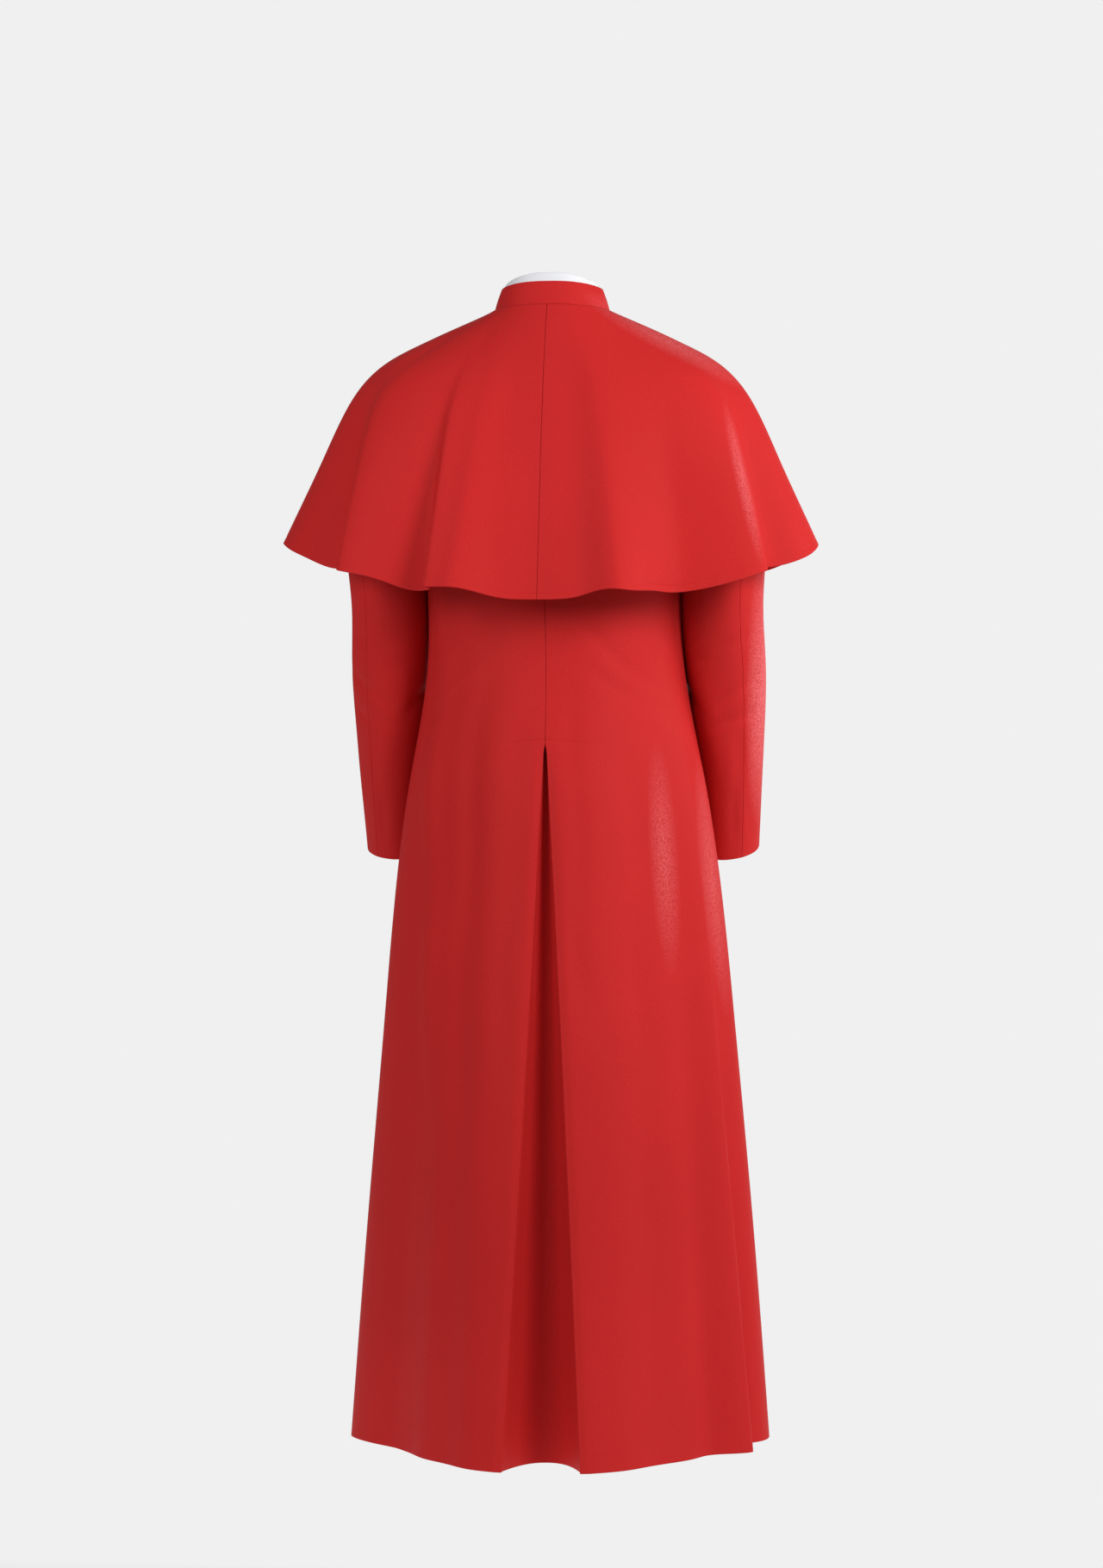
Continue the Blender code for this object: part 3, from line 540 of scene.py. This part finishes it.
def back_edge_angle(down):
    """The angle at which a back panel ends: the centre seam, then the pleat's fold."""
    opened = smooth((down - PLEAT_TOP) / PLEAT_HEAD)
    return np.degrees(np.arcsin(pleat_opening(down) * opened / BODY.at(0, down)))


def pleat_point(across, down):
    """The pleat's channel: across runs from -1 at one fold to 1 at the other."""
    across, down = both(across, down)
    half = pleat_opening(down)
    share = np.clip((down - PLEAT_TOP) / (HEM - PLEAT_TOP), 0, None)
    depth = PLEAT_DEPTH_TOP + (PLEAT_DEPTH_HEM - PLEAT_DEPTH_TOP) * share
    side = np.sign(across) * np.degrees(np.arcsin(half / BODY.at(0, down)))
    fold = body_point(side, down)[..., 1]
    y = fold - PLEAT_UNDER - (depth - PLEAT_UNDER) * (1 - np.abs(across) ** PLEAT_ROUNDNESS)
    return np.stack([half * across - sway(down), y, BODY.at("z_back", down)], -1)


def armhole_angles(down):
    """Where the back and front panels end at the armhole, or at the side seam."""
    middle, half = (SHOULDER_TIP + UNDERARM) / 2, (UNDERARM - SHOULDER_TIP) / 2
    bow = np.sqrt(np.clip(1 - ((down - middle) / half) ** 2, 0, None))
    return SIDE_SEAM - ARMHOLE_BACK_ANGLE * bow, SIDE_SEAM + ARMHOLE_FRONT_ANGLE * bow


def armhole_point(turn):
    """The armhole's edge: turn 0 is the shoulder tip, 90 the back and 180 the underarm."""
    turn = np.radians(turn)
    wide = np.where(np.sin(turn) > 0, ARMHOLE_BACK_ANGLE, ARMHOLE_FRONT_ANGLE)
    middle, half = (SHOULDER_TIP + UNDERARM) / 2, (UNDERARM - SHOULDER_TIP) / 2
    return body_point(SIDE_SEAM - wide * np.sin(turn), middle - half * np.cos(turn))


def sleeve_ring_point(turn, down):
    """A point of the left sleeve below its head: turn 0 is outside, 90 behind, 180 inside."""
    turn = np.radians(turn)
    inner = np.stack([SLEEVE.at("inner_x", down), SLEEVE.at("inner_z", down)])
    outer = np.stack([SLEEVE.at("outer_x", down), SLEEVE.at("outer_z", down)])
    middle, reach = (inner + outer) / 2, (outer - inner) / 2
    x = middle[0] + reach[0] * np.cos(turn)
    y = SLEEVE.at("mid_y", down) + SLEEVE.at("half_depth", down) * np.sin(turn)
    z = middle[1] + reach[1] * np.cos(turn) - SLEEVE.at("drop", down) * np.sin(turn)
    return np.stack([x, y, z], -1)


def sleeve_point(turn, down, side):
    """A sleeve: side is 1 for the wearer's left, and -1 for the mirrored right one."""
    turn, down = both(turn, down)
    first = SLEEVE_RINGS[0][0]
    ring = sleeve_ring_point(turn, np.maximum(down, first))
    middle = (sleeve_ring_point(0.0 * turn, down) + sleeve_ring_point(0.0 * turn + 180, down)) / 2
    quiet = smooth((down - SLEEVE_CREASES_START) / SLEEVE_CREASES_START)
    pressed = creases_in(SLEEVE_CREASES, turn % 360, down, SLEEVE_CREASE_RADIUS) * quiet
    ring = ring - pressed[..., None] * unit(ring - middle)
    head = armhole_point(turn)
    share = np.clip(down / first, 0, 1)
    share = smooth(share) * SLEEVE_HEAD_SOFTNESS + share * (1 - SLEEVE_HEAD_SOFTNESS)
    point = head + (ring - head) * share[..., None]
    inner = (1 - np.cos(np.radians(turn))) / 2
    inner = inner * smooth(down / SLEEVE_TUCK_BLEND)
    inner = inner * smooth((SLEEVE_TUCK_END - down) / SLEEVE_TUCK_BLEND)
    swayed = SLEEVE_SWAY * np.sin(SLEEVE_SWAY_TURN * np.pi * down / CUFF)
    point[..., 0] = point[..., 0] * side - swayed
    point[..., 0] += np.where(side < 0, RIGHT_SLEEVE_TUCK, -LEFT_SLEEVE_TUCK) * inner
    return point


def unit(v):
    return v / np.maximum(np.linalg.norm(v, axis=-1, keepdims=True), 1e-12)


def surface_normals(surface, first, second, first_step, second_step):
    """Unit normals of a surface, from a small step each way along both parameters."""
    along = surface(first + first_step, second) - surface(first - first_step, second)
    down = surface(first, second + second_step) - surface(first, second - second_step)
    return unit(np.cross(along, down))


# The edges of a grid, each with the row or column beside it
EDGES = (
    (np.s_[:, 0], np.s_[:, 1]),
    (np.s_[:, -1], np.s_[:, -2]),
    (np.s_[0], np.s_[1]),
    (np.s_[-1], np.s_[-2]),
)


def pull_in(points, gaps):
    """Moves each edge of the grid in by its gap: the first and last columns and rows."""
    moved = points.copy()
    for gap, (edge, beside) in zip(gaps, EDGES):
        moved[edge] += gap * unit(points[beside] - points[edge])
    return moved


def rows_between(first, last, count):
    """Distances down from first to last, with a row close to each end for a rounded edge."""
    inner = np.linspace(first + EDGE_STEP, last - EDGE_STEP, steps(count))
    return np.concatenate([[first], inner, [last]])


def columns_between(start, end, radius, count):
    """Angles from start to end for each row, with a column close to each end."""
    margin = np.degrees(EDGE_STEP / radius)[:, None]
    start, end = (np.broadcast_to(side, margin.shape[:1])[:, None] for side in (start, end))
    inner = np.linspace(0, 1, steps(count))[None, :]
    return np.concatenate([start, start + margin + (end - start - 2 * margin) * inner, end], 1)


def shell(
    name,
    surface,
    first,
    second,
    material,
    gaps=(0, 0, 0, 0),
    outward=1,
    thick=CLOTH,
    rounding=ROUNDING,
    first_step=ANGLE_STEP,
):
    """One piece of cloth: both faces of a thin wall with a rounded edge all round."""
    normals = surface_normals(surface, first, second, first_step, LENGTH_STEP) * outward
    points = surface(first, second)
    rounded = tuple(gap + rounding for gap in gaps)
    outer = pull_in(points, rounded)
    inner = pull_in(points - normals * thick, rounded)
    middle = pull_in(points - normals * thick / 2, gaps)
    rows, columns = first.shape
    count = rows * columns
    index = np.arange(count).reshape(rows, columns)
    corners = [index[:-1, :-1], index[:-1, 1:], index[1:, 1:], index[1:, :-1]]
    front = np.stack(corners, -1).reshape(-1, 4)
    back = front[:, ::-1] + count
    border = np.concatenate([index[0, :-1], index[:-1, -1], index[-1, :0:-1], index[:0:-1, 0]])
    ring = 2 * count + np.arange(len(border))
    beyond, ring_beyond = np.roll(border, -1), np.roll(ring, -1)
    rim = np.concatenate(
        [
            np.stack([beyond, border, ring, ring_beyond], -1),
            np.stack([ring_beyond, ring, border + count, beyond + count], -1),
        ]
    )
    faces = np.concatenate([front, back, rim])
    if outward < 0:
        faces = faces[:, ::-1]
    edge = middle.reshape(-1, 3)[border]
    vertices = np.concatenate([outer.reshape(-1, 3), inner.reshape(-1, 3), edge])
    mesh = bpy.data.meshes.new(name)
    mesh.from_pydata(vertices.tolist(), [], faces.tolist())
    mesh.shade_smooth()
    return add_piece(name, mesh, material)


def add_piece(name, mesh, material):
    """Adds a piece that stands for its CAD node, and for that node's part below the waist."""
    if not mesh.materials:
        mesh.materials.append(material)
    piece = bpy.data.objects.new(f"look_{name}", mesh)
    bpy.context.scene.collection.objects.link(piece)
    for node in (name, f"skirt_{name}"):
        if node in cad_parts:
            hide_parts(node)
    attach(piece, "root")
    return piece


def steps(count):
    """The number of steps at this fineness."""
    return max(LEAST_STEPS, int(count * FINE))


def body_rows():
    """Distances down the body for the rows of a panel, closer at the armhole and the waist."""
    middle, half = (SHOULDER_TIP + UNDERARM) / 2, (UNDERARM - SHOULDER_TIP) / 2
    yoke = rows_between(0, SHOULDER_TIP, YOKE_DOWN)[:-1]
    armhole = middle - half * np.cos(np.linspace(0, np.pi, steps(ARMHOLE_DOWN)))
    waist = np.linspace(UNDERARM, PLEAT_TOP - WAIST_SEAM_BAND, steps(WAIST_DOWN))[1:]
    head = PLEAT_TOP + np.linspace(-WAIST_SEAM_REACH, WAIST_SEAM_REACH, WAIST_SEAM_ROWS)
    skirt = rows_between(PLEAT_TOP + WAIST_SEAM_BAND, HEM, SKIRT_DOWN)
    return np.concatenate([yoke, armhole, waist, head, skirt])


def make_backs(cloth):
    """The two back panels, from the centre back to the armholes and side seams."""
    down = body_rows()
    start, end = back_edge_angle(down), armhole_angles(down)[0]
    columns = columns_between(start, end, BODY.at(0, down), PANEL_ROUND)
    rows = np.repeat(down[:, None], columns.shape[1], 1)
    gaps = (HALF_GAP, HALF_GAP, -TUCK, 0)
    left = shell("back_left", back_point, columns, rows, cloth, gaps)
    right = shell("back_right", back_point, -columns[:, ::-1], rows, cloth, gaps)


def make_centre_pleat(cloth):
    """The underlay of the centre back pleat."""
    down = rows_between(PLEAT_TOP, HEM, PLEAT_DOWN)
    across = np.linspace(-1, 1, steps(PLEAT_ROUND))
    first, second = np.broadcast_arrays(across[None, :], down[:, None])
    piece = shell(
        "centre_pleat",
        pleat_point,
        first,
        second,
        cloth,
        rounding=0.0,
        first_step=ACROSS_STEP,
    )


def make_fronts(cloth):
    """The two front panels: the left one laps over the right one."""
    down = body_rows()
    radius = BODY.at(180, down)
    start, end = armhole_angles(down)[1], 180 + np.degrees(FRONT_OVERLAP / radius)
    columns = columns_between(start, end, radius, PANEL_ROUND)
    rows = np.repeat(down[:, None], columns.shape[1], 1)
    left = shell("front_left", body_point, columns, rows, cloth, (HALF_GAP, 0, -TUCK, 0))
    right = shell(
        "front_right", underlap_point, -columns[:, ::-1], rows, cloth, (0, HALF_GAP, -TUCK, 0)
    )


def make_sleeves(cloth):
    """Two-piece sleeves, each with an upper and an under piece."""
    first = SLEEVE_RINGS[0][0]
    head = rows_between(0, first, SLEEVE_HEAD_DOWN)[:-1]
    arm = rows_between(first, CUFF, SLEEVE_DOWN)
    down = np.concatenate([head, arm[:1], arm[2:]])
    front, back = SLEEVE_SEAM_FRONT, SLEEVE_SEAM_BACK
    pieces = (
        ("upper", front, back, UPPER_SLEEVE_ROUND, (0.20, 0.63), 0.080),
        ("under", back, front + 360, UNDER_SLEEVE_ROUND, (0.28, 0.60), 0.125),
    )
    for word, side in (("left", 1), ("right", -1)):
        for piece, start, end, count, flat, area in pieces:
            turns = columns_between(start, end, np.array([SLEEVE_RADIUS]), count)
            first, second = np.broadcast_arrays(turns, down[:, None])
            made = shell(
                f"sleeve_{word}_{piece}",
                lambda turn, down, side=side: sleeve_point(turn, down, side),
                first,
                second,
                cloth,
                (HALF_GAP, HALF_GAP, 2 * HALF_GAP, 0),
                outward=-side,
            )


def make_collar(cloth, white):
    """The red stand collar, and the white liner that rises above it at the back."""
    end = 180 - math.degrees(math.asin(COLLAR_OPENING / COLLAR_FRONT_RADIUS))
    turns = columns_between(-end, end, np.array([COLLAR_RADIUS]), COLLAR_ROUND)
    rows = rows_between(0, COLLAR_HEIGHT, COLLAR_DOWN)
    first, second = np.broadcast_arrays(turns, rows[:, None])
    collar = shell("collar", collar_point, first, second, cloth, (0, 0, 0, -TUCK))
    facing = np.sign(90 - np.abs(turns)) * np.abs(np.cos(np.radians(turns))) ** LINER_FLATNESS
    share = LINER_RISE_SIDE + np.where(facing > 0, 1, LINER_RISE_SIDE - LINER_RISE_FRONT) * facing
    shares = rows_between(0, LINER_BOTTOM, LINER_DOWN) / LINER_BOTTOM
    second = -LINER_RISE * share + (LINER_BOTTOM + LINER_RISE * share) * shares[:, None]
    first = np.repeat(turns, len(shares), 0)
    liner = shell(
        "collar_liner",
        liner_point,
        first,
        second,
        white,
        thick=LINER,
        rounding=LINER_ROUNDING,
    )


def cape_front_angle(down):
    """Where the cape ends at the front: its edges part towards the hem."""
    parting = (CAPE_EDGE_AT_HEM - CAPE_EDGE_AT_NECK) * (down / CAPE_LENGTH) ** CAPE_EDGE_CURVE
    edge = CAPE_EDGE_AT_NECK + parting
    return 180 - np.degrees(np.arcsin(edge / CAPE.at(180, down)))


def make_capes(cloth):
    """The two halves of the cape, with rows close together at the stitching."""
    band = np.linspace(-STITCH_BAND, STITCH_BAND, STITCH_ROWS)
    stitches = CAPE_LENGTH - CAPE_STITCHING + band
    upper = rows_between(0, stitches[0] - STITCH_MARGIN_ABOVE, CAPE_DOWN)[:-1]
    hem = rows_between(stitches[-1] + STITCH_MARGIN_BELOW, CAPE_LENGTH, CAPE_HEM_DOWN)
    down = np.concatenate([upper, stitches, hem])
    columns = columns_between(0, cape_front_angle(down), CAPE.at(0, down), CAPE_ROUND)
    rows = np.repeat(down[:, None], columns.shape[1], 1)
    left = shell("cape_left", cape_point, columns, rows, cloth, (HALF_GAP, 0, -CAPE_TUCK, 0))
    right = shell(
        "cape_right", cape_point, -columns[:, ::-1], rows, cloth, (0, HALF_GAP, -CAPE_TUCK, 0)
    )


def dome_mesh(name, profile, sides, radius, height, material):
    """A round button from its profile: shares of the radius and of the height."""
    turns = 2 * np.pi * np.arange(sides) / sides
    points = [(0.0, 0.0, 0.0)]
    for wide, high in profile:
        for c, s in zip(np.cos(turns), np.sin(turns)):
            points.append((wide * radius * c, wide * radius * s, high * height))
    points.append((0.0, 0.0, height))
    faces = []
    for i in range(sides):
        j = (i + 1) % sides
        faces.append((0, 1 + j, 1 + i))
        for ring in range(len(profile) - 1):
            low, high = 1 + ring * sides, 1 + (ring + 1) * sides
            faces.append((low + i, low + j, high + j, high + i))
        top = 1 + (len(profile) - 1) * sides
        faces.append((top + i, top + j, len(points) - 1))
    mesh = bpy.data.meshes.new(name)
    mesh.from_pydata(points, [], faces)
    mesh.materials.append(material)
    mesh.shade_smooth()
    return mesh


def make_buttons(button_cloth):
    """The row of covered buttons down the centre front."""
    mesh = dome_mesh(
        "covered_button", BUTTON_PROFILE, BUTTON_SIDES, BUTTON_RADIUS, BUTTON_HEIGHT, button_cloth
    )
    for number, middle in enumerate(np.linspace(FIRST_BUTTON, LAST_BUTTON, BUTTON_COUNT), 1):
        marks = np.array([middle - BUTTON_RADIUS, middle, middle + BUTTON_RADIUS])
        above, point, below = body_point(180.0, marks)
        along = unit(below - above)
        normal = np.array([0, along[2], -along[1]])
        button = add_piece(f"button_{number:02d}", mesh, button_cloth)
        button.location = (point + normal * BUTTON_GAP).tolist()
        button.rotation_euler = (math.atan2(-normal[1], normal[2]), 0, 0)


def node_maker(material):
    """A short way to add nodes and join them in this material."""
    tree = material.node_tree

    def add(kind, settings=None, **inputs):
        node = tree.nodes.new(kind)
        for key, value in (settings or {}).items():
            setattr(node, key, value)
        for key, value in inputs.items():
            socket = node.inputs[key.replace("_", " ")]
            if isinstance(value, bpy.types.NodeSocket):
                tree.links.new(value, socket)
            else:
                socket.default_value = value
        return node

    return tree, add


def painted_sheen_places(tree, add, place):
    """1 in the middle of each patch of painted sheen (a highlight painted into the colour), and 0
    away from them.
    """
    painted_sheen = None
    for row in PAINTED_SHEEN_PLACES:
        spot = dict(zip(PAINTED_SHEEN_COLUMNS, row))
        middle = (spot["x"], spot["y"], spot["z"])
        reach = (spot["wide"], spot["deep"], spot["high"])
        tilt = (0, math.radians(spot["tilt"]), 0)
        local = add(
            "ShaderNodeMapping",
            {"vector_type": "TEXTURE"},
            Vector=place,
            Location=middle,
            Rotation=tilt,
            Scale=reach,
        )
        ball = add(
            "ShaderNodeTexGradient", {"gradient_type": "SPHERICAL"}, Vector=local.outputs["Vector"]
        )
        level = add("ShaderNodeMath", {"operation": "MULTIPLY"})
        tree.links.new(ball.outputs["Fac"], level.inputs[0])
        level.inputs[1].default_value = spot["strength"]
        if painted_sheen is None:
            painted_sheen = level.outputs[0]
        else:
            joined = add("ShaderNodeMath", {"operation": "MAXIMUM"})
            tree.links.new(painted_sheen, joined.inputs[0])
            tree.links.new(level.outputs[0], joined.inputs[1])
            painted_sheen = joined.outputs[0]
    return painted_sheen


def make_wool(name, color, roughness, grain):
    """Smooth fulled wool: an even colour with a faint cloudiness, a fine soft nap, and a few
    patches of painted sheen, paler highlights painted into the colour.
    """
    material = bpy.data.materials.new(name)
    material.use_nodes = True
    tree, add = node_maker(material)
    shader = tree.nodes["Principled BSDF"]
    shader.inputs["Roughness"].default_value = roughness
    shader.inputs["Specular IOR Level"].default_value = 0.05
    place = add("ShaderNodeTexCoord").outputs["Object"]
    cloud = add("ShaderNodeTexNoise", Vector=place, Scale=5.0, Detail=3.0)
    fleck = add("ShaderNodeTexNoise", Vector=place, Scale=420.0, Detail=3.0)
    mixed = add("ShaderNodeMath", {"operation": "MULTIPLY"})
    tree.links.new(cloud.outputs["Fac"], mixed.inputs[0])
    tree.links.new(fleck.outputs["Fac"], mixed.inputs[1])
    ramp = add("ShaderNodeValToRGB")
    ramp.color_ramp.elements[0].position = 0.10
    ramp.color_ramp.elements[0].color = (*(0.90 * c for c in color), 1)
    ramp.color_ramp.elements[1].position = 0.42
    ramp.color_ramp.elements[1].color = (*color, 1)
    tree.links.new(mixed.outputs[0], ramp.inputs["Fac"])
    grainy = add(
        "ShaderNodeMapRange",
        {"clamp": True},
        Value=fleck.outputs["Fac"],
        From_Min=0.25,
        From_Max=0.75,
    )
    # Painted sheen: a grainy paler colour mixed in at the highlight patches, standing in for light
    # glancing off the cloth.
    grainy_sheen = add("ShaderNodeMath", {"operation": "MULTIPLY"})
    tree.links.new(painted_sheen_places(tree, add, place), grainy_sheen.inputs[0])
    tree.links.new(grainy.outputs["Result"], grainy_sheen.inputs[1])
    with_painted_sheen = add(
        "ShaderNodeMixRGB",
        Fac=grainy_sheen.outputs[0],
        Color1=ramp.outputs["Color"],
        Color2=(*PAINTED_SHEEN_COLOR, 1),
    )
    tree.links.new(with_painted_sheen.outputs["Color"], shader.inputs["Base Color"])
    nap = add("ShaderNodeBump", Height=fleck.outputs["Fac"], Strength=grain, Distance=0.0008)
    tree.links.new(nap.outputs["Normal"], shader.inputs["Normal"])
    return material


def make_white():
    """Smooth white cotton with a fine weave."""
    material = bpy.data.materials.new("white_collar_cloth")
    material.use_nodes = True
    tree, add = node_maker(material)
    shader = tree.nodes["Principled BSDF"]
    shader.inputs["Base Color"].default_value = (0.83, 0.84, 0.87, 1)
    shader.inputs["Roughness"].default_value = 0.55
    shader.inputs["Specular IOR Level"].default_value = 0.3
    place = add("ShaderNodeTexCoord").outputs["Object"]
    weave = add("ShaderNodeTexNoise", Vector=place, Scale=900.0, Detail=1.0)
    nap = add("ShaderNodeBump", Height=weave.outputs["Fac"], Strength=0.15, Distance=0.0003)
    tree.links.new(nap.outputs["Normal"], shader.inputs["Normal"])
    return material


def make_stage():
    """A pale floor that curves up into a pale backdrop, and is darker out of view in front."""
    turns = np.linspace(0, np.pi / 2, 16)
    bend_y = STAGE_BACK + STAGE_BEND - STAGE_BEND * np.sin(turns)
    bend_z = FLOOR_LEVEL + STAGE_BEND - STAGE_BEND * np.cos(turns)
    profile = [(STAGE_FRONT, FLOOR_LEVEL), *zip(bend_y, bend_z), (STAGE_BACK, STAGE_TOP)]
    points = [(x, y, z) for y, z in profile for x in (-STAGE_HALF_WIDTH, STAGE_HALF_WIDTH)]
    faces = [(2 * i, 2 * i + 1, 2 * i + 3, 2 * i + 2) for i in range(len(profile) - 1)]
    mesh = bpy.data.meshes.new("stage")
    mesh.from_pydata(points, [], faces)
    mesh.shade_smooth()
    paper = bpy.data.materials.new("pale_paper")
    paper.use_nodes = True
    shader = paper.node_tree.nodes["Principled BSDF"]
    shader.inputs["Base Color"].default_value = (0, 0, 0, 1)
    shader.inputs["Roughness"].default_value = 1.0
    shader.inputs["Specular IOR Level"].default_value = 0.0
    shader.inputs["Emission Strength"].default_value = 1.0
    tree, add = node_maker(paper)
    place = add("ShaderNodeTexCoord").outputs["Object"]
    parts = add("ShaderNodeSeparateXYZ", Vector=place)
    near = add(
        "ShaderNodeMapRange",
        {"clamp": True},
        Value=parts.outputs["Y"],
        From_Min=DARKER_FROM,
        From_Max=DARKEST_AT,
    )
    shade = add("ShaderNodeValToRGB", Fac=near.outputs["Result"])
    shade.color_ramp.elements[0].color = (0.87, 0.87, 0.87, 1)
    shade.color_ramp.elements[1].color = (0.30, 0.30, 0.30, 1)
    tree.links.new(shade.outputs["Color"], shader.inputs["Emission Color"])
    mesh.materials.append(paper)
    stage = bpy.data.objects.new("stage", mesh)
    bpy.context.scene.collection.objects.link(stage)


def add_light(name, place, aim, size, power):
    """A round white lamp at this place, turned to where it aims."""
    light = bpy.data.lights.new(name, "AREA")
    light.shape = "DISK"
    light.size = size
    light.energy = power
    lamp = bpy.data.objects.new(name, light)
    lamp.location = place
    toward = np.array(aim, float) - np.array(place, float)
    flat = math.hypot(toward[0], toward[1])
    lamp.rotation_euler = (math.atan2(flat, -toward[2]), 0, math.atan2(-toward[0], toward[1]))
    bpy.context.scene.collection.objects.link(lamp)


def make_lights():
    """Soft lamps round the garment, strongest from the wearer's right, and an even room."""
    for row in LAMPS:
        add_light(**dict(zip(LAMP_COLUMNS, row)))
    world = bpy.data.worlds.new("soft_room")
    world.use_nodes = True
    world.node_tree.nodes["Background"].inputs["Color"].default_value = (1, 1, 1, 1)
    world.node_tree.nodes["Background"].inputs["Strength"].default_value = ROOM_LIGHT
    bpy.context.scene.world = world


def make_camera():
    """A level camera behind the garment."""
    camera = bpy.data.cameras.new("camera")
    camera.lens = CAMERA_LENS
    camera.sensor_fit = "VERTICAL"
    camera.sensor_height = CAMERA_SENSOR
    camera.shift_x = CAMERA_SHIFT
    camera.clip_end = 50
    eye = bpy.data.objects.new("camera", camera)
    turn = math.radians(CAMERA_AZIMUTH)
    eye.location = (
        CAMERA_DISTANCE * math.sin(turn),
        -CAMERA_DISTANCE * math.cos(turn),
        CAMERA_HEIGHT,
    )
    eye.rotation_euler = (math.radians(90), 0, turn)
    bpy.context.scene.collection.objects.link(eye)
    bpy.context.scene.camera = eye


def main():
    wool = make_wool("red_wool_cloth", (0.62, 0.024, 0.024), 0.55, 0.25)
    covered = make_wool("button_covering", (0.60, 0.022, 0.022), 0.52, 0.15)
    white = make_white()
    make_backs(wool)
    make_centre_pleat(wool)
    make_fronts(wool)
    make_sleeves(wool)
    make_collar(wool, white)
    make_capes(wool)
    make_buttons(covered)
    make_stage()
    make_lights()
    make_camera()
    bpy.context.scene.view_settings.view_transform = "Standard"


main()
